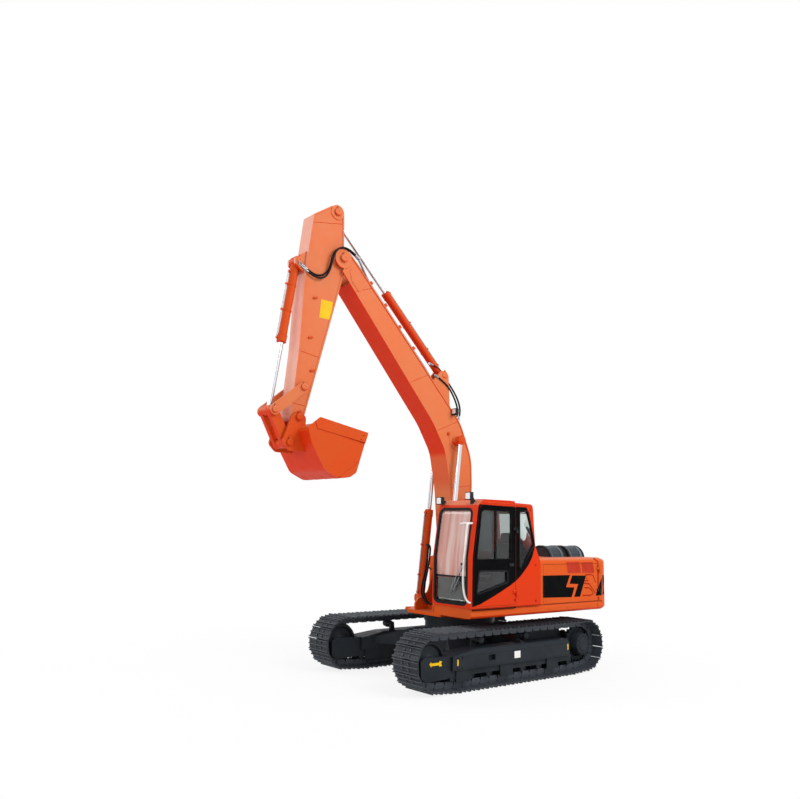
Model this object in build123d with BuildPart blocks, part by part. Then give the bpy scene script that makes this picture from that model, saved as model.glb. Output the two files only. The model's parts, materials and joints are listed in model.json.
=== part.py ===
"""Crawler excavator, parked with its boom up and its bucket curled.

Millimetres. X points forward, Y to the left, Z up, with the ground at z = 0. Side profiles are drawn
in (x, z) with x measured from the swing axis, which stands at swing_x in the part's own frame. A row
of a side profile is (x, z) or, where its corner is rounded, (x, z, corner radius).
"""
from math import atan2, cos, hypot, pi, sin
import os

from build123d import *

os.makedirs("parts", exist_ok=True)

# ---- driving dimensions ----
swing_x = -745.0            # the swing axis, behind the middle of the whole machine
seat_gap = 0.3              # between a piece and the seat that carries it
pin_gap = 0.1               # between a pin and its bore
run_gap = 6.0               # between pieces that swing past each other

# undercarriage
track_gauge = 2390.0        # between the two tracks' centre lines
shoe_width = 600.0
shoe_thickness = 14.0
shoe_count = 50
grouser_height = 26.0
roller_reach = 1420.0       # first and last bottom roller
idler_step = 410.0          # from the first roller to the idler's axle
sprocket_step = 390.0       # from the last roller to the sprocket's axle
axle_z = 475.0              # idler and sprocket
belt_radius = 420.0         # to the shoes' outer face, round the idler and the sprocket
link_height = 105.0         # of the chain's rails, under the shoes
rail_width = 50.0
rail_gap = 100.0            # between a chain's two rails
roller_radius = 75.0
roller_count = 8
carrier_radius = 60.0
carrier_spots = (710.0, -380.0)
frame_half = 200.0          # half a side frame's width
frame_floor = 318.0
frame_shoulder = 540.0      # where the side frame's outer faces lean in
frame_top = 600.0
guard_spots = (-960.0, 205.0, 1200.0)   # roller guards along a side frame
ring_radius = 640.0
ring_floor = 860.0
ring_height = 110.0
drum_radius = 620.0
leg_floor = 410.0
leg_root_top = 740.0
leg_foot_top = 530.0
leg_reach = 1150.0          # from the middle to the legs' outer corners, fore and aft

# revolving frame and covers
deck_floor = 1065.0
deck_top = 1225.0
deck_front = 1020.0         # front end of the cab's deck
bumper_radius = 55.0        # rounding of the deck's outer edge
house_half = 1355.0
house_front = -670.0        # front of the side covers
house_rear = -2440.0        # front of the counterweight
house_top = 2020.0
house_shoulder = 95.0       # rounding of the covers' upper outer edges
bay_inner = 470.0           # inner side of the left cooler bay
hood_front = -1103.0        # seam between the top cover and the engine hood
cover_thickness = 40.0
right_deck_front = -60.0     # the right deck ends in front of the fuel tank
tank_front = -430.0
tank_length = 740.0
foot_plate_inner = 226.0    # boom foot brackets
foot_plate_thickness = 36.0
tail_x = -2800.0
tail_arc_radius = 4130.0
tail_floor = 1075.0
tail_top = 2000.0
dome_spots = (-1675.0, -2215.0)         # middles of the two mesh domes over the cooler bay
dome_length = 410.0
dome_y = 730.0
dome_half = 250.0
dome_height = 210.0

# cab
cab_inner = 425.0
cab_overhang = 25.0         # cab's outer face, beyond the side covers
cab_wall = 55.0
door_rear_x = -10.0
door_clearance = 6.0
glass_thickness = 8.0
glass_depth = 24.0          # from the outer face to the pane
screen_middle_z = 2060.0
screen_height = 1540.0
screen_border = 50.0        # beside the windscreen, towards the boom
screen_pillar = 125.0       # and towards the door

# boom, arm and bucket, side positions (x, z) at rest
boom_foot = (200.0, 1850.0)
boom_half = 220.0
boom_cylinder_y = 340.0
boom_cylinder_foot = (655.0, 1150.0)
boom_cylinder_head = (336.0, 4100.0)
arm_pivot = (2980.0, 6970.0)
arm_half = 165.0
arm_cylinder_foot = (545.0, 5320.0)
arm_cylinder_head = (3100.0, 7780.0)
bucket_pin = (3720.0, 4180.0)
bucket_cylinder_foot = (3780.0, 6770.0)
arm_link_pin = (3640.0, 4670.0)
rod_pin = (4140.0, 4255.0)
bucket_link_pin = (3870.0, 3765.0)
bucket_half = 520.0
cutter_bores = ((2676.0, 3952.0), (2722.0, 3886.0))   # side cutter bolts, through the bucket's cheeks
cutter_bore_radius = 13.0
side_plate_thickness = 25.0
cheek_thickness = 12.0      # reinforcement on the outside of the bucket's side plates
beam_lip = 14.0             # a beam's top and bottom plates beyond its side plates
beam_plate = 26.0           # thickness of those plates
tow_eye_x = 700.0           # drawbar eyes under the carbody, front and rear
tow_eye_z = 400.0
tow_bore_radius = 30.0
tow_eye_thickness = 50.0
tow_eye_radius = 70.0
barrel_radius = 72.0
gland_step = 7.0            # a barrel's gland beyond its tube
gland_length = 110.0
rod_radius = 42.0
eye_radius = 85.0
eye_half = 52.0             # half the width of the boom cylinders' eyes
wide_eye_half = 68.0        # and of the arm and bucket cylinders' eyes
pin_radius = 40.0

# hinges of doors and hood
hinge_radius = 18.0         # of a knuckle
hinge_length = 45.0
hinge_pin_radius = 9.0
hinge_reach = 22.0          # from the outer face to the hinge's axis

# lamps
lamp_half = 55.0            # of the boom's lamp
lamp_depth = 70.0
cab_lamp_half = 65.0
cab_lamp_back = 915.0       # rear of the cab's lamps

# ---- side profiles, (x, z) or (x, z, corner radius) ----
boom_outline = [
    (335, 1850), (460, 3250, 2000), (600, 3900, 700), (900, 4380, 1500), (2990, 6740), (2850, 7100),
    (2540, 6800), (1220, 5470, 3000), (220, 4450, 1000), (-70, 3800, 1000), (-90, 3250, 2000), (65, 1850),
]
arm_outline = [
    (2965, 7760, 60), (2930, 6720, 200), (3590, 4200, 60), (3840, 4200, 60), (3740, 5280, 3000),
    (3690, 6590, 2000), (3570, 7620, 40), (3200, 7880, 60),
]
arm_crown = [(2800, 7330), (2800, 8000), (3450, 8000), (3450, 7600), (3200, 7330)]     # cut between its lugs
arm_bracket = [(3600, 6500), (3600, 7000), (3760, 6870, 30), (3870, 6800, 50), (3860, 6700, 50), (3720, 6600)]
boom_bracket = [(400, 4700), (445, 5330), (500, 5400, 50), (620, 5400, 50), (900, 5100)]
boom_seat = [
    (house_front + seat_gap, deck_floor), (house_front + seat_gap, 1420), (-120, 1900, 150), (60, 2010, 150),
    (320, 2010, 120), (420, 1800, 200), (560, 1350, 150), (800, 1250, 60), (860, 1180, 40), (860, 1030),
    (700, 1000),
]
cab_profile = [
    (1040, deck_top), (1035, 2050, 600), (905, 2900, 45), (800, 2985, 60), (-450, 2955, 75), (-510, 2235, 300),
    (-650, 1965, 200), (-650, deck_top),
]
door_upper_pane = [(100, 2015, 40), (930, 2015, 40), (820, 2800, 60), (770, 2830, 60), (100, 2815, 40)]
door_lower_pane = [(200, 1815, 30), (870, 1825, 30), (925, 1455, 30), (200, 1635, 30)]
quarter_pane = [(-110, 1795, 30), (-490, 2275, 30), (-320, 2835, 30), (-110, 2815, 30)]
right_pane = [(-400, 1900, 40), (900, 1700, 40), (850, 2500, 40), (780, 2860, 40), (-400, 2830, 40)]
bucket_side = [
    (2580, 4010), (2790, 3350, 60), (2910, 3270, 100), (3130, 3240, 200), (3400, 3360, 200), (3650, 3760, 200),
    (3730, 3990, 40), (3510, 4170),
]
bucket_shell = [
    (2580, 4010), (2790, 3350, 60), (2910, 3270, 100), (3130, 3240, 200), (3400, 3360, 200), (3650, 3760, 200),
    (3730, 3990, 60), (3560, 4080), (3680, 3975, 40), (3610, 3780, 180), (3370, 3400, 180), (3125, 3270, 180),
    (2930, 3300, 80), (2820, 3370, 40), (2620, 4020),
]
bucket_cheek = [(2580, 4010), (3510, 4170), (3600, 4095), (3560, 3990), (2632, 3845)]
bucket_corner = [(3130, 3246), (2912, 3276, 60), (2796, 3356), (2762, 3510)]
bucket_ear = [
    (3590, 4180, 60), (3720, 4310, 90), (3850, 4180, 60), (4000, 3765, 90), (3870, 3640, 90), (3560, 3640),
    (3600, 3900),
]

# ---- values that follow from them ----
leg_plan = [(-60.0, 200.0), (520.0, 200.0), (leg_reach, track_gauge / 2 - frame_half),
            (leg_reach - 530.0, track_gauge / 2 - frame_half)]
idler_x = roller_reach + idler_step
sprocket_x = -(roller_reach + sprocket_step)
cab_outer = house_half + cab_overhang
cab_middle = (cab_inner + cab_outer) / 2
cab_lamp_places = [(cab_inner + 72, 2975.0), (cab_outer - 165, 3050.0)]   # (y, z) of the lamps' middles
bay_top = house_top - house_shoulder - 10
frame_inner = track_gauge / 2 - frame_half
wheel_radius = belt_radius - shoe_thickness - link_height - seat_gap
roller_z = grouser_height + roller_radius + link_height + shoe_thickness
carrier_z = axle_z + belt_radius - shoe_thickness - link_height - carrier_radius - seat_gap
cylinder_side = boom_cylinder_y - eye_half - run_gap     # where a boom cylinder's bosses end


# ---- helpers ----
def side_plane(y):
    """The (x, z) plane at y, with x from the swing axis. Extrusions run towards -Y."""
    return Plane(origin=(swing_x, y, 0), x_dir=(1, 0, 0), z_dir=(0, -1, 0))


def level_plane(z):
    """The (x, y) plane at z, with x from the swing axis. Extrusions run up."""
    return Plane(origin=(swing_x, 0, z))


def cross_plane(x):
    """The (y, z) plane at x from the swing axis. Extrusions run forward."""
    return Plane(origin=(swing_x + x, 0, 0), x_dir=(0, 1, 0), z_dir=(1, 0, 0))


def profile_face(rows, grow=0.0):
    """A side profile as a face in its own plane, grown or shrunk all round."""
    corners = [row[:2] for row in rows]
    rounds = [row[2] if len(row) > 2 else 0.0 for row in rows]
    with BuildSketch(Plane.XY) as face:
        with BuildLine():
            if any(rounds):
                FilletPolyline(*corners, radius=rounds, close=True)
            else:
                Polyline(*corners, close=True)
        make_face()
        if grow:
            offset(amount=grow, kind=Kind.INTERSECTION, mode=Mode.REPLACE)
    return face.sketch


def plate(rows, y_from, y_to, grow=0.0, mode=Mode.ADD):
    """A side profile extruded between two y values."""
    with BuildSketch(side_plane(max(y_from, y_to))) as outline:
        add(profile_face(rows, grow))
    extrude(outline.sketch, amount=abs(y_to - y_from), mode=mode)


def bar(centre, radius, y_from, y_to, mode=Mode.ADD):
    """A round bar along Y between two y values."""
    with BuildSketch(side_plane(max(y_from, y_to))) as circle:
        with Locations(centre):
            Circle(radius)
    extrude(circle.sketch, amount=abs(y_to - y_from), mode=mode)


def slab(x_from, x_to, y_from, y_to, z_from, z_to, mode=Mode.ADD):
    """A box between two corners."""
    with BuildSketch(level_plane(z_from)) as area:
        with Locations(((x_from + x_to) / 2, (y_from + y_to) / 2)):
            Rectangle(abs(x_to - x_from), abs(y_to - y_from))
    extrude(area.sketch, amount=z_to - z_from, mode=mode)


def post(x, y, radius, z_from, z_to, mode=Mode.ADD):
    """A round upright post."""
    with BuildSketch(level_plane(z_from)) as circle:
        with Locations((x, y)):
            Circle(radius)
    extrude(circle.sketch, amount=z_to - z_from, mode=mode)


def strut(start, end, radius, y, from_start=0.0, to_end=0.0, mode=Mode.ADD):
    """A round strut in the plane at y, along the line from start to end."""
    length = hypot(end[0] - start[0], end[1] - start[1])
    way = ((end[0] - start[0]) / length, (end[1] - start[1]) / length)
    origin = (swing_x + start[0] + way[0] * from_start, y, start[1] + way[1] * from_start)
    with BuildSketch(Plane(origin=origin, x_dir=(0, 1, 0), z_dir=(way[0], 0, way[1]))) as circle:
        Circle(radius)
    extrude(circle.sketch, amount=length - from_start - to_end, mode=mode)


def flat_link(start, end, y_from, y_to):
    """A flat link between two pins, with round ends."""
    across = (end[0] - start[0], end[1] - start[1])
    middle = ((start[0] + end[0]) / 2, (start[1] + end[1]) / 2)
    with BuildSketch(side_plane(max(y_from, y_to))) as link:
        with Locations(middle):
            SlotCenterToCenter(hypot(*across), 2 * eye_radius, rotation=atan2(across[1], across[0]) * 180 / pi)
    extrude(link.sketch, amount=abs(y_to - y_from))


def box_beam(rows, half):
    """A welded box beam, its side plates set in between its top and bottom plates."""
    plate(rows, beam_lip - half, half - beam_lip)
    with BuildSketch(side_plane(half)) as edge_plates:
        add(profile_face(rows))
        add(profile_face(rows, -beam_plate), mode=Mode.SUBTRACT)
    extrude(edge_plates.sketch, amount=2 * half)


def door_hinges(x, y, heights, leaf_end, face_y, carries_pin):
    """Upright hinges: a leaf and a knuckle each, and the pin on the side that carries it."""
    for z in heights:
        z_from = z - hinge_length if carries_pin else z
        post(x, y, hinge_radius, z_from, z_from + hinge_length)
        slab(x, leaf_end, face_y, y, z_from, z_from + hinge_length)
        if carries_pin:
            post(x, y, hinge_pin_radius, z, z + hinge_length + 10)
        else:
            post(x, y, hinge_pin_radius + pin_gap, z - 1, z + hinge_length + 1, mode=Mode.SUBTRACT)


def save(builder, name):
    """Label a finished piece and write it."""
    builder.part.label = name
    export_step(builder.part, f"parts/{name}.step")


# ---- tracks ----
# what the track's loop runs round, counter-clockwise: (x, z, radius to the shoes' outer face)
belt_stops = [
    (idler_x, axle_z, belt_radius),
    (sprocket_x, axle_z, belt_radius),
    (-roller_reach, roller_z, roller_radius + link_height + shoe_thickness),
    (roller_reach, roller_z, roller_radius + link_height + shoe_thickness),
]


def belt_runs():
    """The straight runs of the loop, as pairs of tangent points."""
    runs = []
    for index, (x, z, radius) in enumerate(belt_stops):
        next_x, next_z, next_radius = belt_stops[(index + 1) % len(belt_stops)]
        length = hypot(next_x - x, next_z - z)
        way = atan2(next_z - z, next_x - x)
        outward = way - pi / 2 + atan2(radius - next_radius, (length**2 - (radius - next_radius) ** 2) ** 0.5)
        runs.append(
            (
                (x + radius * cos(outward), z + radius * sin(outward)),
                (next_x + next_radius * cos(outward), next_z + next_radius * sin(outward)),
            )
        )
    return runs


def belt_turns():
    """The loop's arcs, one after each run, as (x, z, radius, start angle, turn)."""
    runs = belt_runs()
    turns = []
    for index, (start, end) in enumerate(runs):
        x, z, radius = belt_stops[(index + 1) % len(runs)]
        next_start = runs[(index + 1) % len(runs)][0]
        from_angle = atan2(end[1] - z, end[0] - x)
        turn = (atan2(next_start[1] - z, next_start[0] - x) - from_angle) % (2 * pi)
        turns.append((x, z, radius, from_angle, turn))
    return turns


def belt_place(distance):
    """The point on the shoes' outer face at a distance round the loop, and its outward angle."""
    for (start, end), (x, z, radius, from_angle, turn) in zip(belt_runs(), belt_turns()):
        length = hypot(end[0] - start[0], end[1] - start[1])
        if distance <= length:
            share = distance / length
            point = (start[0] + (end[0] - start[0]) * share, start[1] + (end[1] - start[1]) * share)
            return point, atan2(end[1] - start[1], end[0] - start[0]) - pi / 2
        distance -= length
        if distance <= turn * radius:
            angle = from_angle + distance / radius
            return (x + radius * cos(angle), z + radius * sin(angle)), angle
        distance -= turn * radius
    return belt_place(distance)


def belt_length():
    """The loop's length along the shoes' outer face."""
    straight = sum(hypot(end[0] - start[0], end[1] - start[1]) for start, end in belt_runs())
    return straight + sum(turn * radius for x, z, radius, from_angle, turn in belt_turns())


# one shoe's outer profile: (share of the pitch from the shoe's middle, share of the grouser height)
shoe_profile = [
    (-0.46, 1.0), (-0.40, 1.0), (-0.35, 0.0), (-0.06, 0.0), (0.0, 0.9), (0.06, 0.0), (0.35, 0.0), (0.40, 1.0),
    (0.46, 1.0), (0.5, 0.0),
]


pitch = belt_length() / shoe_count
shoe_places = [belt_place(pitch * (index + 0.5)) for index in range(shoe_count)]


def track_outline():
    """The outer outline of all the shoes with their grousers."""
    points = []
    for (x, z), outward in shoe_places:
        for share, height in shoe_profile:
            step = share * pitch
            rise = height * grouser_height
            points.append(
                (x - sin(outward) * step + cos(outward) * rise, z + cos(outward) * step + sin(outward) * rise)
            )
    return points


def link_outline(inset):
    """The links' straight inner faces, inset from the shoes' outer face: one corner where two links bend."""
    points = []
    for index, ((x, z), outward) in enumerate(shoe_places):
        (next_x, next_z), next_outward = shoe_places[(index + 1) % shoe_count]
        bend = next_outward - outward
        if abs(sin(bend)) < 1e-6:
            continue
        # how far each link's inner face stands from the origin, along its own outward direction
        reach = x * cos(outward) + z * sin(outward) - inset
        next_reach = next_x * cos(next_outward) + next_z * sin(next_outward) - inset
        points.append(
            (
                (reach * sin(next_outward) - next_reach * sin(outward)) / sin(bend),
                (next_reach * cos(outward) - reach * cos(next_outward)) / sin(bend),
            )
        )
    return points


def build_track(side):
    """One track: a fixed loop of shoes on two rails."""
    centre = side * track_gauge / 2
    with BuildPart() as track:
        plate(track_outline(), centre - shoe_width / 2, centre + shoe_width / 2)
        plate(link_outline(shoe_thickness), centre - shoe_width / 2, centre + shoe_width / 2, mode=Mode.SUBTRACT)
        for rail in (1, -1):
            with BuildSketch(side_plane(centre + rail * (rail_gap + rail_width) / 2 + rail_width / 2)) as links:
                add(profile_face(link_outline(shoe_thickness)))
                add(profile_face(link_outline(shoe_thickness + link_height)), mode=Mode.SUBTRACT)
            extrude(links.sketch, amount=rail_width)
    return track


# one sprocket tooth: (share of the pitch, radius beyond the wheel's)
tooth_profile = [(-0.28, -14.0), (-0.14, 22.0), (0.14, 22.0), (0.28, -14.0)]
tooth_count = 21


def build_sprocket(side):
    """A track's rear wheel: its teeth, and the travel motor's hub through them."""
    centre = side * track_gauge / 2
    points = []
    for index in range(tooth_count):
        for share, rise in tooth_profile:
            angle = 2 * pi * (index + share) / tooth_count
            radius = wheel_radius + rise
            points.append((sprocket_x + radius * cos(angle), axle_z + radius * sin(angle)))
    with BuildPart() as sprocket:
        plate(points, centre - 30, centre + 30)
        with BuildSketch(side_plane(centre)) as hub:
            with Locations((sprocket_x, axle_z)):
                Circle(235)
        extrude(hub.sketch, amount=-side * 185, taper=14)
    return sprocket


def build_rollers(side):
    """A track's bottom rollers and the two carrier rollers under its upper run."""
    centre = side * track_gauge / 2
    with BuildPart() as rollers:
        for index in range(roller_count):
            x = -roller_reach + 2 * roller_reach * index / (roller_count - 1)
            bar((x, roller_z), roller_radius - seat_gap, centre - 101, centre + 101)
        for x in carrier_spots:
            bar((x, carrier_z), carrier_radius, centre - 100, centre + 100)
    return rollers


def build_track_frame(side):
    """A side frame: its box, idler yoke, motor plate, roller rails and guards."""
    centre = side * track_gauge / 2
    shoulder = frame_half - 55
    with BuildPart() as track_frame:
        with BuildSketch(cross_plane(-roller_reach + 20)) as section:
            with BuildLine():
                Polyline(
                    (centre - frame_half, frame_floor), (centre - frame_half, frame_shoulder),
                    (centre - shoulder, frame_top), (centre + shoulder, frame_top),
                    (centre + frame_half, frame_shoulder), (centre + frame_half, frame_floor), close=True,
                )
            make_face()
        extrude(section.sketch, amount=2 * roller_reach + 10)
        # the box narrows towards the idler
        plate([(900, frame_top + 1), (roller_reach + 31, frame_top + 1), (roller_reach + 31, 530)],
              centre - frame_half - 1, centre + frame_half + 1, mode=Mode.SUBTRACT)
        # adjuster opening in the outer face
        slab(500, 660, centre + side * (frame_half - 60), centre + side * (frame_half + 1), 410, 500,
             mode=Mode.SUBTRACT)
        for face in (1, -1):
            plate([(roller_reach - 120, 330), (roller_reach - 120, 530), (idler_x + 180, 555, 60),
                   (idler_x + 245, axle_z + 20, 40), (idler_x + 230, 260, 60), (idler_x + 130, 190, 60),
                   (roller_reach + 80, 205, 40), (roller_reach + 20, 330)], centre + face * 112, centre + face * 152)
            bar((idler_x, axle_z), 80, centre + face * (100 + seat_gap), centre + face * 112)
            slab(-roller_reach - 70, roller_reach + 70, centre + face * (101 + seat_gap), centre + face * 152, 225,
                 frame_floor)
            for x in guard_spots:
                slab(x - 150, x + 150, centre + face * 152, centre + face * 172, 130, frame_floor)
        motor_plate = [(-roller_reach + 120, 320), (-roller_reach + 120, 590), (sprocket_x + 60, 700, 80),
                       (sprocket_x - 215, axle_z, 200), (sprocket_x + 60, 250, 80)]
        plate(motor_plate, centre - side * (frame_half - 3), centre - side * (frame_half + 40))
        bar((sprocket_x, axle_z), 190, centre - side * (30 + seat_gap), centre - side * (frame_half - 3))
        for x in carrier_spots:
            plate([(x - 60, frame_top - 90), (x - 40, carrier_z + 40, 20), (x + 40, carrier_z + 40, 20),
                   (x + 60, frame_top - 90)], centre - side * (100 + seat_gap), centre - side * 140)
    return track_frame


for side, name in ((1, "left"), (-1, "right")):
    save(build_track(side), f"track_{name}")
    with BuildPart() as idler:
        bar((idler_x, axle_z), wheel_radius, side * track_gauge / 2 - 100, side * track_gauge / 2 + 100)
    save(idler, f"idler_{name}")
    save(build_sprocket(side), f"sprocket_{name}")
    save(build_rollers(side), f"rollers_{name}")
    save(build_track_frame(side), f"track_frame_{name}")

# ---- carbody and slewing ring ----
with BuildPart() as carbody:
    # four legs, each tapering in plan and in height from the drum to its side frame
    with BuildSketch(level_plane(leg_floor)) as legs:
        for side in (1, -1):
            for end in (1, -1):
                with BuildLine():
                    Polyline(*[(end * x, side * y) for x, y in leg_plan], close=True)
                make_face()
    extrude(legs.sketch, amount=leg_root_top - leg_floor)
    for side in (1, -1):
        with BuildSketch(cross_plane(-leg_reach)) as slope:
            with BuildLine():
                Polyline((side * 400, leg_root_top + 1), (side * (frame_inner + 1), leg_root_top + 1),
                         (side * (frame_inner + 1), leg_foot_top), close=True)
            make_face()
        extrude(slope.sketch, amount=2 * leg_reach, mode=Mode.SUBTRACT)
    with BuildSketch(level_plane(leg_floor)) as drum:
        Circle(drum_radius)
    extrude(drum.sketch, amount=ring_floor - leg_floor)
    # a drawbar eye at each end, under the drum
    for end in (1, -1):
        with BuildSketch(level_plane(tow_eye_z - tow_eye_thickness / 2)) as eye:
            with Locations((end * (tow_eye_x - 100), 0)):
                Rectangle(200, 2 * tow_eye_radius)
            with Locations((end * tow_eye_x, 0)):
                Circle(tow_eye_radius)
                Circle(tow_bore_radius, mode=Mode.SUBTRACT)
        extrude(eye.sketch, amount=tow_eye_thickness)
save(carbody, "carbody")

with BuildPart() as slewing_ring:
    post(0, 0, ring_radius, ring_floor, ring_floor + ring_height)
save(slewing_ring, "slewing_ring")

# ---- revolving frame ----
frame_bottom = ring_floor + ring_height + seat_gap
foot_plate_outer = foot_plate_inner + foot_plate_thickness
with BuildPart() as main_frame:
    slab(house_rear, deck_front, cab_inner + 30, house_half - 5, deck_floor, deck_top)
    slab(house_rear, right_deck_front, 5 - house_half, -cab_inner, deck_floor, deck_top)
    outer_edges = main_frame.edges().filter_by(Axis.X).filter_by(lambda edge: abs(edge.center().Y) > house_half - 10)
    fillet(outer_edges, radius=bumper_radius)
    slab(house_rear, 560, -cab_inner - 30, cab_inner + 30, deck_floor, deck_top - 60)
    plate([(house_rear, frame_bottom + 60), (house_rear, deck_floor), (700, deck_floor), (700, frame_bottom + 40),
           (560, frame_bottom), (-1500, frame_bottom)], -700, 700)
    slab(500, 860, -cab_inner - 20, cab_inner + 20, deck_floor - 65, deck_floor - 5)
    for side in (1, -1):
        plate(boom_seat, side * foot_plate_inner, side * foot_plate_outer)
        bar(boom_cylinder_foot, 62, side * foot_plate_inner, side * cylinder_side)
        bar(boom_cylinder_foot, pin_radius, side * foot_plate_inner, side * (boom_cylinder_y + eye_half))
    bar(boom_foot, pin_radius + pin_gap, -foot_plate_outer - 1, foot_plate_outer + 1, mode=Mode.SUBTRACT)
save(main_frame, "main_frame")

with BuildPart() as counterweight:
    corner_x = tail_x + tail_arc_radius - (tail_arc_radius**2 - (house_half - 40) ** 2) ** 0.5
    front_x = house_rear - seat_gap
    with BuildSketch(level_plane(tail_floor)):
        with BuildLine():
            Line((front_x, house_half), (corner_x, house_half - 40))
            ThreePointArc((corner_x, house_half - 40), (tail_x, 0), (corner_x, 40 - house_half))
            Line((corner_x, 40 - house_half), (front_x, -house_half))
            Line((front_x, -house_half), (front_x, house_half))
        make_face()
    extrude(amount=tail_top - tail_floor)
    fillet(counterweight.edges().filter_by(Axis.Z).group_by(Axis.X)[0], radius=70)
    fillet(counterweight.edges().group_by(Axis.Z)[-1].sort_by(Axis.X)[:-1], radius=house_shoulder - 20)
    chamfer(counterweight.edges().group_by(Axis.Z)[0].sort_by(Axis.X)[:-1], length=45)
save(counterweight, "counterweight")

# ---- covers ----
side_door_x = house_rear + 83
side_door_heights = (1400.0, 1800.0)
housings = [
    # name, side, inner side, front end
    ("left", 1, bay_inner, house_front),
    ("right", -1, cab_inner + 200, tank_front - tank_length),
]
for name, side, inner, front in housings:
    with BuildPart() as housing:
        slab(house_rear, front, side * inner, side * house_half, deck_top, house_top)
        top_edges = housing.edges().filter_by(Axis.X).group_by(Axis.Z)[-1].sort_by(Axis.Y)
        fillet(top_edges[-1] if side > 0 else top_edges[0], radius=house_shoulder)
        slab(house_rear + 80, front - 80, side * (inner - 1), side * (house_half + 1), deck_top - 1, bay_top,
             mode=Mode.SUBTRACT)
        door_hinges(side_door_x, side * (house_half + hinge_reach), side_door_heights, side_door_x - 55,
                    side * house_half, True)
    save(housing, f"{name}_housing")

    with BuildPart() as door:
        slab(house_rear + 86, front - 86, side * (house_half - cover_thickness), side * house_half, deck_top + 6,
             bay_top - 6)
        door_hinges(side_door_x, side * (house_half + hinge_reach), side_door_heights, side_door_x + 75,
                    side * house_half, False)
    save(door, f"{name}_door")

with BuildPart() as fuel_tank:
    slab(tank_front - tank_length + seat_gap, tank_front, -house_half, -cab_inner - 40, deck_top, house_top - 60)
    fillet(fuel_tank.edges().filter_by(Axis.X).group_by(Axis.Z)[-1].sort_by(Axis.Y)[0], radius=house_shoulder - 20)
    fillet(fuel_tank.edges().filter_by(Axis.Z).group_by(Axis.X)[-1], radius=45)
    # filler neck
    post(tank_front - 250, -cab_inner - 350, 55, house_top - 61, house_top - 20)
save(fuel_tank, "fuel_tank")

hood_hinge = (hood_front, house_top + hinge_reach)
hood_hinge_spots = (-350.0, 200.0)
with BuildPart() as top_cover:
    inner_wall = cab_inner + 40 - seat_gap
    slab(hood_front + 3, house_front, -inner_wall, bay_inner - seat_gap, house_top - 50, house_top)
    slab(house_front - 50, house_front, -inner_wall, bay_inner - seat_gap, deck_top, house_top - 50)
    slab(house_front - 50, house_front, -cab_inner + 10, cab_inner - 10, deck_top - 60, deck_top)
    for y in hood_hinge_spots:
        bar(hood_hinge, hinge_radius, y - hinge_length, y)
        slab(hood_hinge[0], hood_hinge[0] + 75, y - hinge_length, y, house_top, hood_hinge[1])
        bar(hood_hinge, hinge_pin_radius, y, y + hinge_length + 10)
save(top_cover, "top_cover")

with BuildPart() as engine_hood:
    slab(house_rear + 6, hood_front - 3, -cab_inner - 194, bay_inner - 6, house_top - 40, house_top)
    # pressed ribs across the hood
    for x in (-1400, -1700, -2000):
        slab(x - 60, x + 60, -cab_inner - 120, bay_inner - 60, house_top, house_top + 18)
    for y in hood_hinge_spots:
        bar(hood_hinge, hinge_radius, y, y + hinge_length)
        slab(hood_hinge[0] - 75, hood_hinge[0], y, y + hinge_length, house_top, hood_hinge[1])
        bar(hood_hinge, hinge_pin_radius + pin_gap, y - 1, y + hinge_length + 1, mode=Mode.SUBTRACT)
save(engine_hood, "engine_hood")

with BuildPart() as hood_covers:
    for middle in dome_spots:
        with BuildSketch(cross_plane(middle - dome_length / 2)) as arch:
            with BuildLine():
                ThreePointArc((dome_y - dome_half, house_top), (dome_y, house_top + dome_height),
                              (dome_y + dome_half, house_top))
                Line((dome_y + dome_half, house_top), (dome_y - dome_half, house_top))
            make_face()
        extrude(arch.sketch, amount=dome_length)
save(hood_covers, "hood_covers")

with BuildPart() as engine_block:
    slab(-2200, -1350, -cab_inner + 5, cab_inner - 5, deck_top - 60, house_top - 120)
save(engine_block, "engine_block")

with BuildPart() as exhaust:
    post(-1300, -cab_inner - 400, 60, house_top, house_top + 350)
save(exhaust, "exhaust")

# ---- cab ----
cab_hinge_x = door_rear_x + door_clearance / 2
cab_hinge_heights = (1450.0, 2500.0)
door_opening = [
    (door_rear_x, deck_top + 30, 30), (990, deck_top + 30, 30), (990, 2030, 300), (865, 2860, 30), (800, 2915, 30),
    (door_rear_x, 2895, 30),
]
# the windscreen's and the rear window's panes follow the cab's front and back
screen_strip = [(1040, deck_top), (1035, 2050), (905, 2900), (897, 2900), (1027, 2050), (1032, deck_top)]
with BuildPart() as cab_shell:
    plate(cab_profile, cab_inner, cab_outer)
    plate(cab_profile, cab_inner + cab_wall, cab_outer - cab_wall, grow=-cab_wall, mode=Mode.SUBTRACT)
    # windscreen, door, rear quarter, right side and rear openings
    with BuildSketch(cross_plane(800)) as screen:
        with Locations(((cab_inner + screen_border + cab_outer - screen_pillar) / 2, screen_middle_z)):
            RectangleRounded(cab_outer - cab_inner - screen_border - screen_pillar, screen_height, 90)
    extrude(screen.sketch, amount=400, mode=Mode.SUBTRACT)
    plate(door_opening, cab_outer - cab_wall - 1, cab_outer + 1, mode=Mode.SUBTRACT)
    plate(quarter_pane, cab_outer - cab_wall - 1, cab_outer + 1, mode=Mode.SUBTRACT)
    plate(right_pane, cab_inner - 1, cab_inner + cab_wall + 1, mode=Mode.SUBTRACT)
    with BuildSketch(cross_plane(-700)) as back_window:
        with Locations((cab_middle, 2560)):
            Rectangle(cab_outer - cab_inner - 260, 460)
    extrude(back_window.sketch, amount=400, mode=Mode.SUBTRACT)
    # raised roof hatch
    slab(-150, 620, cab_middle - 330, cab_middle + 330, 2940, 3005)
    door_hinges(cab_hinge_x, cab_outer + hinge_reach, cab_hinge_heights, cab_hinge_x - 55, cab_outer, True)
save(cab_shell, "cab_shell")

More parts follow.
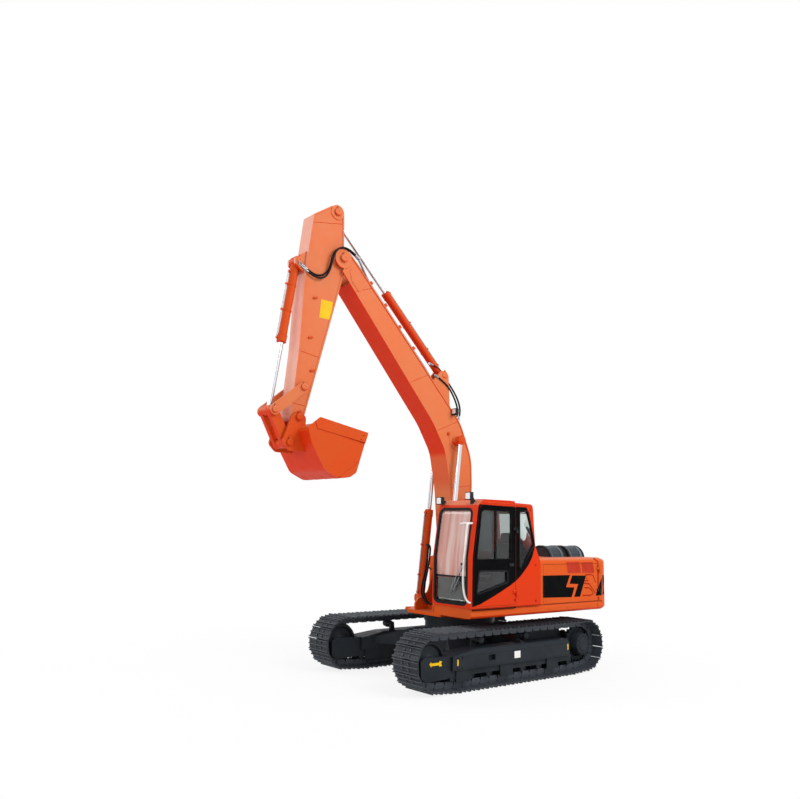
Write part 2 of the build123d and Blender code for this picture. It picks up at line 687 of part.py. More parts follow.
with BuildPart() as cab_glass:
    with BuildSketch(side_plane(cab_outer)) as strip:
        with BuildLine():
            Polyline(*[(x - glass_depth, z) for x, z in screen_strip], close=True)
        make_face()
    extrude(strip.sketch, amount=cab_outer - cab_inner)
    extrude(screen.sketch, amount=400, mode=Mode.INTERSECT)
    plate(quarter_pane, cab_outer - glass_depth - glass_thickness, cab_outer - glass_depth)
    plate(right_pane, cab_inner + glass_depth, cab_inner + glass_depth + glass_thickness)
    plate([(-502, 2330), (-464, 2790), (-456, 2790), (-494, 2330)], cab_inner + 130, cab_outer - 130)
save(cab_glass, "cab_glass")

with BuildPart() as cab_door:
    plate(door_opening, cab_outer - 45, cab_outer, grow=-door_clearance)
    plate(door_upper_pane, cab_outer - 50, cab_outer + 5, mode=Mode.SUBTRACT)
    plate(door_lower_pane, cab_outer - 50, cab_outer + 5, mode=Mode.SUBTRACT)
    door_hinges(cab_hinge_x, cab_outer + hinge_reach, cab_hinge_heights, cab_hinge_x + 75, cab_outer, False)
save(cab_door, "cab_door")

with BuildPart() as door_glass:
    for pane in (door_upper_pane, door_lower_pane):
        plate(pane, cab_outer - glass_depth - glass_thickness, cab_outer - glass_depth)
save(door_glass, "door_glass")

cab_floor = deck_top + cab_wall
with BuildPart() as seat:
    slab(-180, 220, cab_middle - 170, cab_middle + 170, cab_floor, cab_floor + 300)
    plate([(-240, cab_floor + 300), (300, cab_floor + 300, 50), (300, cab_floor + 430, 50), (-240, cab_floor + 410)],
          cab_middle - 250, cab_middle + 250)
    plate([(-250, cab_floor + 350), (-130, cab_floor + 350), (-210, cab_floor + 980, 50), (-330, cab_floor + 980, 50)],
          cab_middle - 240, cab_middle + 240)
    plate([(-315, cab_floor + 970), (-240, cab_floor + 970), (-260, cab_floor + 1180, 30),
           (-340, cab_floor + 1180, 30)], cab_middle - 130, cab_middle + 130)
save(seat, "seat")

with BuildPart() as consoles:
    for side in (1, -1):
        plate([(-150, cab_floor), (430, cab_floor), (430, cab_floor + 520, 60), (330, cab_floor + 600, 60),
               (-150, cab_floor + 540, 60)], cab_middle + side * 280, cab_middle + side * 390)
save(consoles, "consoles")

# the lamps' brackets stand on the brow, the slope between the windscreen and the roof
brow_low, brow_high = cab_profile[2][:2], cab_profile[3][:2]
bracket_foot = [
    (brow_low[0] + share * (brow_high[0] - brow_low[0]),
     brow_low[1] + share * (brow_high[1] - brow_low[1]) + 1.5 * seat_gap)
    for share in (0.2, 0.8)
]
with BuildPart() as cab_lamps:
    for y, z in cab_lamp_places:
        plate([bracket_foot[1], bracket_foot[0], (cab_lamp_back, bracket_foot[0][1]), (cab_lamp_back, z + 20),
               (cab_lamp_back - 25, z + 20)], y - 15, y + 15)
        slab(cab_lamp_back, cab_lamp_back + lamp_depth, y - cab_lamp_half, y + cab_lamp_half,
             z - cab_lamp_half, z + cab_lamp_half)
save(cab_lamps, "cab_lamps")

# ---- boom ----
fork_half = arm_half + 20 + run_gap
with BuildPart() as boom:
    box_beam(boom_outline, boom_half)
    bar(boom_foot, 150, -boom_half, boom_half)
    bar(boom_foot, pin_radius, -foot_plate_outer, foot_plate_outer)
    for side in (1, -1):
        bar(boom_cylinder_head, 90, side * (boom_half - beam_lip), side * cylinder_side)
    # the fork that holds the arm
    bar(arm_pivot, 430, -fork_half, fork_half, mode=Mode.SUBTRACT)
    for side in (1, -1):
        bar(arm_pivot, 170, side * fork_half, side * boom_half)
        plate(boom_bracket, side * (barrel_radius + run_gap), side * (barrel_radius + 46))
    bar(arm_pivot, pin_radius, -boom_half - 30, boom_half + 30)
    bar(arm_cylinder_foot, pin_radius, -barrel_radius - 46, barrel_radius + 46)
save(boom, "boom")

with BuildPart() as boom_lamp:
    lamp_spot = (420, 4590)
    slab(lamp_spot[0] - 25, lamp_spot[0] + 25, boom_half - beam_lip + seat_gap, boom_half + 70, lamp_spot[1] - 25,
         lamp_spot[1] - 10)
    slab(lamp_spot[0] - lamp_depth / 2, lamp_spot[0] + lamp_depth / 2, boom_half + 10, boom_half + 10 + 2 * lamp_half,
         lamp_spot[1] - 12, lamp_spot[1] - 12 + 2 * lamp_half)
save(boom_lamp, "boom_lamp")

slot_half = wide_eye_half + run_gap
with BuildPart() as arm:
    box_beam(arm_outline, arm_half)
    bar(arm_pivot, 150, -arm_half - 20, arm_half + 20)
    bar(arm_pivot, pin_radius + pin_gap, -arm_half - 21, arm_half + 21, mode=Mode.SUBTRACT)
    bar(arm_cylinder_head, 130, -arm_half, arm_half)
    bar(bucket_pin, 130, -arm_half, arm_half)
    bar(bucket_pin, pin_radius + pin_gap, -arm_half - 1, arm_half + 1, mode=Mode.SUBTRACT)
    bar(arm_link_pin, pin_radius, -arm_half - 65, arm_half + 65)
    bar(arm_cylinder_head, pin_radius, -arm_half - 20, arm_half + 20)
    plate(arm_crown, -slot_half, slot_half, mode=Mode.SUBTRACT)
    for side in (1, -1):
        plate(arm_bracket, side * (barrel_radius + run_gap), side * (barrel_radius + 46))
    bar(bucket_cylinder_foot, pin_radius, -barrel_radius - 46, barrel_radius + 46)
save(arm, "arm")

ear_inner = arm_half + 12 + run_gap
with BuildPart() as bucket:
    plate(bucket_shell, -bucket_half + side_plate_thickness, bucket_half - side_plate_thickness)
    for side in (1, -1):
        outer = side * bucket_half
        plate(bucket_side, side * (bucket_half - side_plate_thickness), outer)
        plate(bucket_cheek, outer, side * (bucket_half + cheek_thickness))
        plate(bucket_corner, outer, side * (bucket_half + cheek_thickness))
        plate(bucket_ear, side * ear_inner, side * (ear_inner + 45))
        bar(bucket_link_pin, pin_radius, side * ear_inner, side * (arm_half + 85))
    bar(bucket_pin, pin_radius, -arm_half - 90, arm_half + 90)
    for spot in cutter_bores:
        bar(spot, cutter_bore_radius, -bucket_half - 50, bucket_half + 50, mode=Mode.SUBTRACT)
save(bucket, "bucket")

with BuildPart() as arm_links:
    for side in (1, -1):
        flat_link(arm_link_pin, rod_pin, side * (arm_half + run_gap), side * (arm_half + run_gap + 40))
        bar(rod_pin, pin_radius, side * slot_half, side * (arm_half + 60))
    bar(arm_link_pin, pin_radius + pin_gap, -arm_half - 60, arm_half + 60, mode=Mode.SUBTRACT)
save(arm_links, "arm_links")

with BuildPart() as h_link:
    for side in (1, -1):
        flat_link(rod_pin, bucket_link_pin, side * slot_half, side * (arm_half - 5))
    bar(rod_pin, pin_radius + pin_gap, -arm_half, arm_half, mode=Mode.SUBTRACT)
    bar(bucket_link_pin, 80, -slot_half, slot_half)
    # web between the two side links
    plate([(3960, 3830), (3870, 3860), (3950, 4040), (4040, 4010)], -slot_half, slot_half)
save(h_link, "h_link")

# ---- cylinders ----
cylinders = [
    # name, foot, head, sides, half the eyes' width, barrel length
    ("boom", boom_cylinder_foot, boom_cylinder_head, (boom_cylinder_y, -boom_cylinder_y), eye_half, 1690),
    ("arm", arm_cylinder_foot, arm_cylinder_head, (0,), wide_eye_half, 1900),
    ("bucket", bucket_cylinder_foot, rod_pin, (0,), wide_eye_half, 1400),
]
for name, foot, head, sides, half, barrel_length in cylinders:
    length = hypot(head[0] - foot[0], head[1] - foot[1])
    gland_end = length - barrel_length
    with BuildPart() as barrel:
        for y in sides:
            bar(foot, eye_radius, y - half, y + half)
            strut(foot, head, barrel_radius, y, from_start=eye_radius - 15, to_end=gland_end + gland_length)
            strut(foot, head, barrel_radius + gland_step, y, from_start=barrel_length - gland_length,
                  to_end=gland_end)
            bar(foot, pin_radius + pin_gap, y - half - 1, y + half + 1, mode=Mode.SUBTRACT)
            strut(foot, head, rod_radius + pin_gap, y, from_start=eye_radius + 40, to_end=gland_end - 1,
                  mode=Mode.SUBTRACT)
    save(barrel, f"{name}_barrel")
    with BuildPart() as rod:
        for y in sides:
            bar(head, eye_radius, y - half, y + half)
            strut(foot, head, rod_radius, y, from_start=barrel_length - 250)
    save(rod, f"{name}_rod")
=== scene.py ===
import json
import math

import bpy
from mathutils import Matrix, Vector

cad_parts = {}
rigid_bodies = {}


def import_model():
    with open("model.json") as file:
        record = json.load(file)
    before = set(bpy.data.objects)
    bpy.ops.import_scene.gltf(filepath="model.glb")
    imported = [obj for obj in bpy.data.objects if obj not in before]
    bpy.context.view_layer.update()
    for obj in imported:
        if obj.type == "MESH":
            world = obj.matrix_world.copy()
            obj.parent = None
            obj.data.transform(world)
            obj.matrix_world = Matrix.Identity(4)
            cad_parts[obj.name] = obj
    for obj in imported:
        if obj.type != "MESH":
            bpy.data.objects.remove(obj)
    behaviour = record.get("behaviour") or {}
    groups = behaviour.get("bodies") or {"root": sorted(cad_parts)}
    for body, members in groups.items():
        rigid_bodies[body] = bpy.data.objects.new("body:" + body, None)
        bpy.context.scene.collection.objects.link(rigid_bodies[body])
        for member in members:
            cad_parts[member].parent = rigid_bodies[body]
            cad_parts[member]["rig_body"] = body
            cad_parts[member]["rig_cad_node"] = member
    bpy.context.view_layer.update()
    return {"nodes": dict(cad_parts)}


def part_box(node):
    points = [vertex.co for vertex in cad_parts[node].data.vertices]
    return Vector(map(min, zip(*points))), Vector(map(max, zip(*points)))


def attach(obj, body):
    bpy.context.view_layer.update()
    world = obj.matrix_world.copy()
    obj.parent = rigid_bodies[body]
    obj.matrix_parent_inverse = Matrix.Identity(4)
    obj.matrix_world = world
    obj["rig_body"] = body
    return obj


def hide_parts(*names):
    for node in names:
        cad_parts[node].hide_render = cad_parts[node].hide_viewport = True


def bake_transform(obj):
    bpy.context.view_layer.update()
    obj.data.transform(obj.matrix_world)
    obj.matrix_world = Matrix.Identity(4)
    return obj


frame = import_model()
ringLow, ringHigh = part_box("slewing_ring")
swingAxis = (ringLow.x + ringHigh.x) / 2  # the tables below measure x from the swing axis
bothSides = ((1, "left"), (-1, "right"))
print("frame loaded, swing axis at", round(swingAxis, 4))

# camera, light and floor

cameraStand = {
    "place": (9.116, 10.344, 2.522),
    "yaw": 141.08,  # degrees about the vertical
    "pitch": 9.54,  # upwards
    "roll": 1.36,
    "lens": 33.93,
    "sensor": 36.0,
}
camera = bpy.data.objects.new("studioCamera", bpy.data.cameras.new("studioCamera"))
bpy.context.scene.collection.objects.link(camera)
camera.data.lens = cameraStand["lens"]
camera.data.sensor_width = cameraStand["sensor"]
camera.data.clip_end = 200.0
camera.matrix_world = (
    Matrix.Translation(cameraStand["place"])
    @ Matrix.Rotation(math.radians(cameraStand["yaw"]), 4, "Z")
    @ Matrix.Rotation(math.radians(90 + cameraStand["pitch"]), 4, "X")
    @ Matrix.Rotation(math.radians(cameraStand["roll"]), 4, "Z")
)
bpy.context.scene.camera = camera
bpy.context.scene.view_settings.view_transform = "Standard"


def linear(hexColour):
    channels = [int(hexColour[place : place + 2], 16) / 255 for place in (0, 2, 4)]
    return tuple([c / 12.92 if c <= 0.04045 else ((c + 0.055) / 1.055) ** 2.4 for c in channels] + [1.0])


def addNode(tree, kind, settings=None, inputs=None):
    node = tree.nodes.new(kind)
    for name, value in (settings or {}).items():
        setattr(node, name, value)
    for name, value in (inputs or {}).items():
        if isinstance(value, bpy.types.NodeSocket):
            tree.links.new(value, node.inputs[name])
        else:
            node.inputs[name].default_value = value
    return node


def seenRays(tree):
    # 1 where the camera, a reflection or a clear pane looks
    rays = addNode(tree, "ShaderNodeLightPath")
    first = addNode(
        tree,
        "ShaderNodeMath",
        {"operation": "MAXIMUM"},
        {0: rays.outputs["Is Camera Ray"], 1: rays.outputs["Is Glossy Ray"]},
    )
    return addNode(
        tree,
        "ShaderNodeMath",
        {"operation": "MAXIMUM"},
        {0: first.outputs[0], 1: rays.outputs["Is Transmission Ray"]},
    ).outputs[0]


studioLight = {
    "wall": "FFFFFF",
    "fill": 0.66,  # what the white room gives the object
    "key": {"place": (-4.0, 13.0, 13.0), "size": 9.0, "power": 1500.0},
    "front": {"place": (14.0, 2.0, 8.0), "size": 8.0, "power": 300.0},
    "right": {"place": (9.5, -12.0, 11.0), "size": 8.0, "power": 700.0},
}
world = bpy.data.worlds.new("whiteRoom")
bpy.context.scene.world = world
world.use_nodes = True
roomTree = world.node_tree
roomTree.nodes.clear()
fill = addNode(
    roomTree, "ShaderNodeBackground", inputs={"Color": linear("FCFCFC"), "Strength": studioLight["fill"]}
)
wall = addNode(
    roomTree, "ShaderNodeBackground", inputs={"Color": linear(studioLight["wall"]), "Strength": 1.0}
)
roomMix = addNode(
    roomTree,
    "ShaderNodeMixShader",
    inputs={0: seenRays(roomTree), 1: fill.outputs[0], 2: wall.outputs[0]},
)
addNode(roomTree, "ShaderNodeOutputWorld", inputs={"Surface": roomMix.outputs[0]})

for lampName in ("key", "front", "right"):
    softbox = studioLight[lampName]
    bulb = bpy.data.lights.new(lampName + "Softbox", "AREA")
    bulb.shape = "DISK"
    bulb.size = softbox["size"]
    bulb.energy = softbox["power"]
    lampObject = bpy.data.objects.new(lampName + "Softbox", bulb)
    bpy.context.scene.collection.objects.link(lampObject)
    lampObject.location = softbox["place"]
    aim = Vector((0.0, 0.0, 2.5)) - Vector(softbox["place"])
    lampObject.rotation_euler = aim.to_track_quat("-Z", "Y").to_euler()


def clearSelection():
    bpy.ops.object.select_all(action="DESELECT")


clearSelection()
bpy.ops.mesh.primitive_circle_add(vertices=96, radius=60.0, fill_type="NGON", location=(0, 0, 0))
floor = bpy.context.object
floor.name = "studioFloor"
floorPaint = bpy.data.materials.new("whiteStudioFloor")
floorPaint.use_nodes = True
floorTree = floorPaint.node_tree
floorTree.nodes.clear()
matt = addNode(floorTree, "ShaderNodeBsdfDiffuse", inputs={"Color": linear("F2F2F2")})
glow = addNode(floorTree, "ShaderNodeEmission", inputs={"Color": linear("FFFFFF"), "Strength": 1.0})
# the matt floor keeps the shadow near the tracks and fades into the white wall
fromMiddle = addNode(
    floorTree,
    "ShaderNodeVectorMath",
    {"operation": "LENGTH"},
    {0: addNode(floorTree, "ShaderNodeTexCoord").outputs["Object"]},
).outputs["Value"]
fade = addNode(
    floorTree,
    "ShaderNodeMapRange",
    inputs={"Value": fromMiddle, "From Min": 2.5, "From Max": 8.0, "To Min": 0.84, "To Max": 1.0},
).outputs[0]
share = addNode(floorTree, "ShaderNodeMath", {"operation": "MULTIPLY"}, {0: seenRays(floorTree), 1: fade})
floorMix = addNode(
    floorTree, "ShaderNodeMixShader", inputs={0: share.outputs[0], 1: matt.outputs[0], 2: glow.outputs[0]}
)
addNode(floorTree, "ShaderNodeOutputMaterial", inputs={"Surface": floorMix.outputs[0]})
floor.data.materials.append(floorPaint)
print("camera, light and floor set")

# materials


def wander(tree, perMetre, low=0.0, high=1.0, detail=3.0, coarseness=0.5, place=None):
    # a value that drifts between two limits over the surface
    place = place or addNode(tree, "ShaderNodeTexCoord").outputs["Object"]
    noise = addNode(
        tree,
        "ShaderNodeTexNoise",
        inputs={"Vector": place, "Scale": perMetre, "Detail": detail, "Roughness": coarseness},
    )
    limits = {"From Min": 0.35, "From Max": 0.65, "To Min": low, "To Max": high}
    return addNode(tree, "ShaderNodeMapRange", inputs={"Value": noise.outputs[0], **limits}).outputs[0]


def mottle(tree, perMetre, detail, coarseness, firstHex, secondHex, place=None):
    # two shades that drift into each other
    share = wander(tree, perMetre, 0.0, 1.0, detail, coarseness, place)
    shades = {0: share, 6: linear(firstHex), 7: linear(secondHex)}
    return addNode(tree, "ShaderNodeMix", {"data_type": "RGBA"}, shades).outputs[2]


def newMaterial(name, gloss, shades=None, grain=None, **shaderValues):
    # gloss: patches per metre, detail, lowest and highest roughness
    # shades: patches per metre, detail, coarseness and the two colours
    # grain, too fine to model: grains per metre, detail, coarseness, strength, height in metres
    made = bpy.data.materials.new(name)
    made.use_nodes = True
    tree = made.node_tree
    shader = tree.nodes["Principled BSDF"]
    for socket, value in shaderValues.items():
        shader.inputs[socket.replace("_", " ")].default_value = value
    perMetre, detail, low, high = gloss
    tree.links.new(wander(tree, perMetre, low, high, detail), shader.inputs["Roughness"])
    if shades:
        tree.links.new(mottle(tree, *shades), shader.inputs["Base Color"])
    if grain:
        perMetre, detail, coarseness, strength, height = grain
        place = addNode(tree, "ShaderNodeTexCoord").outputs["Object"]
        noise = addNode(
            tree,
            "ShaderNodeTexNoise",
            inputs={"Vector": place, "Scale": perMetre, "Detail": detail, "Roughness": coarseness},
        )
        relief = {"Height": noise.outputs[0], "Strength": strength, "Distance": height}
        bump = addNode(tree, "ShaderNodeBump", inputs=relief)
        tree.links.new(bump.outputs["Normal"], shader.inputs["Normal"])
    return made


def raisePattern(made, pattern, lowHex, highHex, strength, height):
    # a pattern that shows in colour and in relief
    tree = made.node_tree
    shader = tree.nodes["Principled BSDF"]
    shades = {0: pattern, 6: linear(lowHex), 7: linear(highHex)}
    colour = addNode(tree, "ShaderNodeMix", {"data_type": "RGBA"}, shades)
    tree.links.new(colour.outputs[2], shader.inputs["Base Color"])
    bump = addNode(
        tree, "ShaderNodeBump", inputs={"Height": pattern, "Strength": strength, "Distance": height}
    )
    tree.links.new(bump.outputs["Normal"], shader.inputs["Normal"])


def sprayedSteel(name, mainHex, dustyHex, shadedUnderHex, highlitTopHex, roughness, shine, highlitFrontHex=None):
    # polyurethane enamel sprayed on steel plate: an even film, faint orange peel, a thin veil of dust,
    # a painted shade on the faces turned down and a painted highlight, the sky's reflection, on those turned
    # up
    made = newMaterial(
        name,
        (7.0, 4.0, roughness - 0.05, roughness + 0.07),
        grain=(180.0, 1.0, 0.5, 0.25, 0.0004),  # peel of about 5 mm
        IOR=1.5,
        Specular_IOR_Level=shine,
    )
    tree = made.node_tree
    colour = mottle(tree, 1.6, 5.0, 0.6, mainHex, dustyHex)
    facing = addNode(
        tree, "ShaderNodeSeparateXYZ", inputs={0: addNode(tree, "ShaderNodeTexCoord").outputs["Normal"]}
    )
    # painted shade and highlight by where a face points: axis, where it starts, where it is full
    paintedLightByFacing = [("Z", -0.1, -0.35, shadedUnderHex), ("Z", 0.45, 0.95, highlitTopHex)]
    if highlitFrontHex:  # painted highlight: the reflection on the face turned forward
        paintedLightByFacing.append(("X", 0.8, 0.95, highlitFrontHex))
    for axis, start, full, paintedLightHex in paintedLightByFacing:
        turned = {"Value": facing.outputs[axis], "From Min": start, "From Max": full}
        share = addNode(tree, "ShaderNodeMapRange", inputs=turned).outputs[0]
        shades = {0: share, 6: colour, 7: linear(paintedLightHex)}
        colour = addNode(tree, "ShaderNodeMix", {"data_type": "RGBA"}, shades).outputs[2]
    tree.links.new(colour, tree.nodes["Principled BSDF"].inputs["Base Color"])
    return made


def forgedSteel():
    # quenched boron steel shoes: dark scale in the hollows; the ridges drawn lighter, partly rubbed bright
    # and partly a painted highlight
    made = newMaterial(
        "forgedTrackSteel",
        (30.0, 4.0, 0.38, 0.56),
        grain=(90.0, 5.0, 0.7, 0.4, 0.0015),
        Metallic=0.3,
        IOR=1.5,
        Specular_IOR_Level=0.3,
    )
    tree = made.node_tree
    edges = addNode(tree, "ShaderNodeNewGeometry").outputs["Pointiness"]
    ridges = {"Value": edges, "From Min": 0.53, "From Max": 0.62, "To Max": 0.5}
    rubbedAndHighlit = addNode(tree, "ShaderNodeMapRange", inputs=ridges).outputs[0]
    shades = {0: rubbedAndHighlit, 6: mottle(tree, 9.0, 6.0, 0.65, "1C1F24", "2A2E34"), 7: linear("5C636C")}
    colour = addNode(tree, "ShaderNodeMix", {"data_type": "RGBA"}, shades)
    tree.links.new(colour.outputs[2], tree.nodes["Principled BSDF"].inputs["Base Color"])
    return made


def tintedGlass(name, seenHex, lampHex):
    # toughened float glass, tinted in the melt, which lets the lamps' light into the cab
    made = newMaterial(
        name,
        (4.0, 2.0, 0.0, 0.02),
        IOR=1.45,
        Transmission_Weight=1.0,
        Base_Color=linear(seenHex),
        Specular_IOR_Level=0.3,
    )
    tree = made.node_tree
    clear = addNode(tree, "ShaderNodeBsdfTransparent", inputs={"Color": linear(lampHex)})
    lampRays = addNode(tree, "ShaderNodeLightPath").outputs["Is Shadow Ray"]
    tinted = tree.nodes["Principled BSDF"].outputs[0]
    both = addNode(tree, "ShaderNodeMixShader", inputs={0: lampRays, 1: tinted, 2: clear.outputs[0]})
    tree.links.new(both.outputs[0], tree.nodes["Material Output"].inputs["Surface"])
    return made


def filmedReflectingGlass():
    # glass under its transport film: milky polyethylene, streaked downwards, and a little pink: a painted
    # reflection of the orange boom
    made = newMaterial("filmedWindscreenReflection", (6.0, 3.0, 0.05, 0.12), IOR=1.45, Transmission_Weight=0.38)
    tree = made.node_tree
    place = addNode(tree, "ShaderNodeTexCoord").outputs["Object"]
    streaks = addNode(tree, "ShaderNodeMapping", inputs={"Vector": place, "Scale": (1.0, 9.0, 0.6)})
    hazeAndReflection = mottle(tree, 1.3, 3.0, 0.5, "E9A494", "F8DDD5", streaks.outputs[0])
    tree.links.new(hazeAndReflection, tree.nodes["Principled BSDF"].inputs["Base Color"])
    return made


def mouldedPlastic(name, hexColour, paleHex, roughness):
    # injection-moulded plastic with a fine spark-eroded grain
    gloss = (30.0, 2.0, roughness - 0.05, roughness + 0.05)
    shades = (12.0, 3.0, 0.5, hexColour, paleHex)
    return newMaterial(name, gloss, shades, (700.0, 1.0, 0.5, 0.3, 0.0003), IOR=1.5, Specular_IOR_Level=0.15)


def vinylFilm(name, hexColour, paleHex, roughness=0.3, shine=0.05):
    # cast vinyl sticker: one smooth saturated colour, slightly chalked by the sun
    gloss = (15.0, 3.0, roughness - 0.04, roughness + 0.06)
    return newMaterial(name, gloss, (6.0, 4.0, 0.5, hexColour, paleHex), IOR=1.48, Specular_IOR_Level=shine)


def wovenFabric():
    # woven polyester seat cloth, drawn coarser than its real 1 mm threads so that it shows
    made = newMaterial(
        "wovenSeatCloth", (20.0, 3.0, 0.8, 0.9), IOR=1.5, Sheen_Weight=0.3, Sheen_Roughness=0.5
    )
    tree = made.node_tree
    threads = {"Vector": addNode(tree, "ShaderNodeTexCoord").outputs["Object"], "Scale": 60.0}
    warp = addNode(tree, "ShaderNodeTexWave", {"bands_direction": "Y"}, threads).outputs[0]
    weft = addNode(tree, "ShaderNodeTexWave", {"bands_direction": "Z"}, threads).outputs[0]
    weave = addNode(tree, "ShaderNodeMath", {"operation": "MULTIPLY"}, {0: warp, 1: weft}).outputs[0]
    raisePattern(made, weave, "26282C", "4A4D52", 0.5, 0.001)
    return made


def lampGlass():
    # pressed clear lens over an aluminised reflector, seen as a pale ribbed face
    made = newMaterial("lampLens", (20.0, 3.0, 0.12, 0.2), IOR=1.5, Metallic=0.2, Coat_Weight=0.6)
    tree = made.node_tree
    bands = {"Vector": addNode(tree, "ShaderNodeTexCoord").outputs["Object"], "Scale": 30.0}
    ribs = addNode(tree, "ShaderNodeTexWave", {"bands_direction": "Y"}, bands).outputs[0]
    raisePattern(made, ribs, "D9DDE0", "FBFCFD", 0.5, 0.002)
    return made


def perforatedSteel():
    # pressed steel mesh: a dark sheet with 12 mm openings every 22 mm, drawn in relief and in colour; the
    # openings are painted dark, a painted shade of the bay behind them
    made = newMaterial("perforatedSheet", (20.0, 3.0, 0.35, 0.5), IOR=1.5, Specular_IOR_Level=0.2)
    tree = made.node_tree
    place = addNode(tree, "ShaderNodeTexCoord").outputs["Object"]
    rows = {"Vector": place, "Scale": 45.0, "Randomness": 0.12}
    holes = addNode(tree, "ShaderNodeTexVoronoi", {"feature": "F1"}, rows).outputs["Distance"]
    edge = {"Value": holes, "From Min": 0.25, "From Max": 0.45}
    rim = addNode(tree, "ShaderNodeMapRange", inputs=edge).outputs[0]
    raisePattern(made, rim, "14181C", "38434B", 0.8, 0.004)
    return made


orangeEnamel = sprayedSteel("orangeEnamel", "D85212", "D55819", "D03A0C", "D8754E", 0.36, 0.12)
cabEnamel = sprayedSteel("cabEnamel", "DA3203", "D63706", "D03208", "DC9474", 0.34, 0.1)
# boom and arm drawn paler than the house's enamel: a painted sheen of the light on their sides
boomEnamel = sprayedSteel("boomEnamel", "DC7244", "D8784C", "D8340E", "DD8A64", 0.45, 0.1)
armEnamel = sprayedSteel("armEnamel", "DC7244", "D8784C", "D8340E", "DD8A64", 0.45, 0.1, "E4A08C")
bucketEnamel = sprayedSteel("bucketEnamel", "D44A15", "CE501C", "D4340E", "D46A40", 0.46, 0.1)
charcoalEnamel = sprayedSteel("charcoalEnamel", "1C2227", "262C31", "14171A", "30363D", 0.5, 0.15)
blackEnamel = sprayedSteel("blackEnamel", "0E1012", "141618", "0C0D0F", "17191C", 0.34, 0.2)
trackSteel = forgedSteel()
# hard chrome, ground and polished round the rod
chrome = newMaterial("hardChrome", (40.0, 2.0, 0.10, 0.16), Metallic=1.0, Base_Color=linear("DADDE2"))
# zinc-plated bolts and pipe clamps: dull grey with a fine crystal pattern
zinc = newMaterial("zincPlate", (60.0, 2.0, 0.3, 0.42), (120.0, 2.0, 0.5, "8E9298", "B4B8BD"), Metallic=0.9)
# carbon-filled nitrile rubber: soft sheen, wrapped cover
rubber = newMaterial(
    "nitrileRubber",
    (50.0, 3.0, 0.42, 0.6),
    (25.0, 4.0, 0.5, "101113", "1C1D20"),
    (260.0, 2.0, 0.5, 0.3, 0.0006),
    IOR=1.52,
    Specular_IOR_Level=0.1,
)
# rolled steel strap drawn light grey, brighter than the mesh beneath it: a painted highlight along the domes
steelStrap = newMaterial(
    "paleStrapHighlight", (25.0, 3.0, 0.35, 0.5), (14.0, 5.0, 0.6, "4A525A", "7C868F"), IOR=1.5, Metallic=0.4
)
# a dark see-through sheet, clear enough to show what stands behind it: painted shade of the cab's inside
# behind the lower windscreen, and the dark pane on the boom's side
darkSheet = newMaterial(
    "darkSeeThroughSheet",
    (5.0, 2.0, 0.0, 0.03),
    IOR=1.45,
    Transmission_Weight=1.0,
    Base_Color=linear("4A5054"),
    Specular_IOR_Level=0.3,
)
glass = tintedGlass("tintedGlass", "E6ECEA", "E4EBE9")
doorPane = tintedGlass("darkTintedGlass", "B2B8B7", "C4CAC8")
filmedReflectingScreen = filmedReflectingGlass()
cabPlastic = mouldedPlastic("cabPlastic", "1B1D20", "26282C", 0.5)
consolePlastic = mouldedPlastic("consolePlastic", "2E3236", "3A3E43", 0.55)
seatCloth = wovenFabric()
blackFilm = vinylFilm("blackFilm", "070809", "0C0D0E", shine=0.02)
redFilm = vinylFilm("darkRedFilm", "B5301C", "BC3A26")
yellowFilm = vinylFilm("yellowFilm", "F2C41B", "E8B81E")
whiteFilm = vinylFilm("whiteFilm", "EDEDEA", "F6F6F4")
plainWhite = vinylFilm("plainWhiteRail", "E4E2DF", "F7F6F4", 0.4)
# darker red film: painted shade in the door's pressed creases and along the seams between panels; the same
# colour on the cab's bolt caps and the bucket's weld beads
sealerAndShadeRed = vinylFilm("darkRedSealerAndShade", "B02A0C", "9E240A", 0.45)
lens = lampGlass()
meshSheet = perforatedSteel()
print("materials mixed")

# shared making steps


def at(x, y, z):
    return Vector((x + swingAxis, y, z))


def editMode():
    bpy.ops.object.mode_set(mode="EDIT")
    bpy.ops.mesh.select_mode(type="VERT")
    bpy.ops.mesh.select_all(action="SELECT")


def objectMode():
    bpy.ops.object.mode_set(mode="OBJECT")


def makeActive(piece):
    clearSelection()
    piece.select_set(True)
    bpy.context.view_layer.objects.active = piece


def applyModifier(piece, kind, **settings):
    makeActive(piece)
    modifier = piece.modifiers.new(kind.lower(), kind)
    for name, value in settings.items():
        setattr(modifier, name, value)
    bpy.ops.object.modifier_apply(modifier=modifier.name)


def easeEdges(piece, width, segments=2, angle=32.0):
    applyModifier(
        piece,
        "BEVEL",
        width=width,
        segments=segments,
        limit_method="ANGLE",
        angle_limit=math.radians(angle),
        miter_outer="MITER_ARC",
    )
    makeActive(piece)
    bpy.ops.object.shade_smooth_by_angle(angle=math.radians(35))
    applyModifier(piece, "WEIGHTED_NORMAL", keep_sharp=True)


def smoothOver(piece, angle=35.0):
    makeActive(piece)
    bpy.ops.object.shade_smooth_by_angle(angle=math.radians(angle))


def fillOutline(name, corners):
    # a filled polygon through the corners
    clearSelection()
    bpy.ops.mesh.primitive_circle_add(vertices=len(corners), radius=1.0, fill_type="NGON", location=(0, 0, 0))
    piece = bpy.context.object
    piece.name = name
    for vertex, corner in zip(piece.data.vertices, corners):
        vertex.co = corner
    return piece


def pulledPlate(name, corners, pull):
    piece = fillOutline(name, corners)
    editMode()
    bpy.ops.mesh.extrude_region_move(TRANSFORM_OT_translate={"value": tuple(pull)})
    bpy.ops.mesh.select_all(action="SELECT")
    bpy.ops.mesh.normals_make_consistent(inside=False)
    objectMode()
    return piece


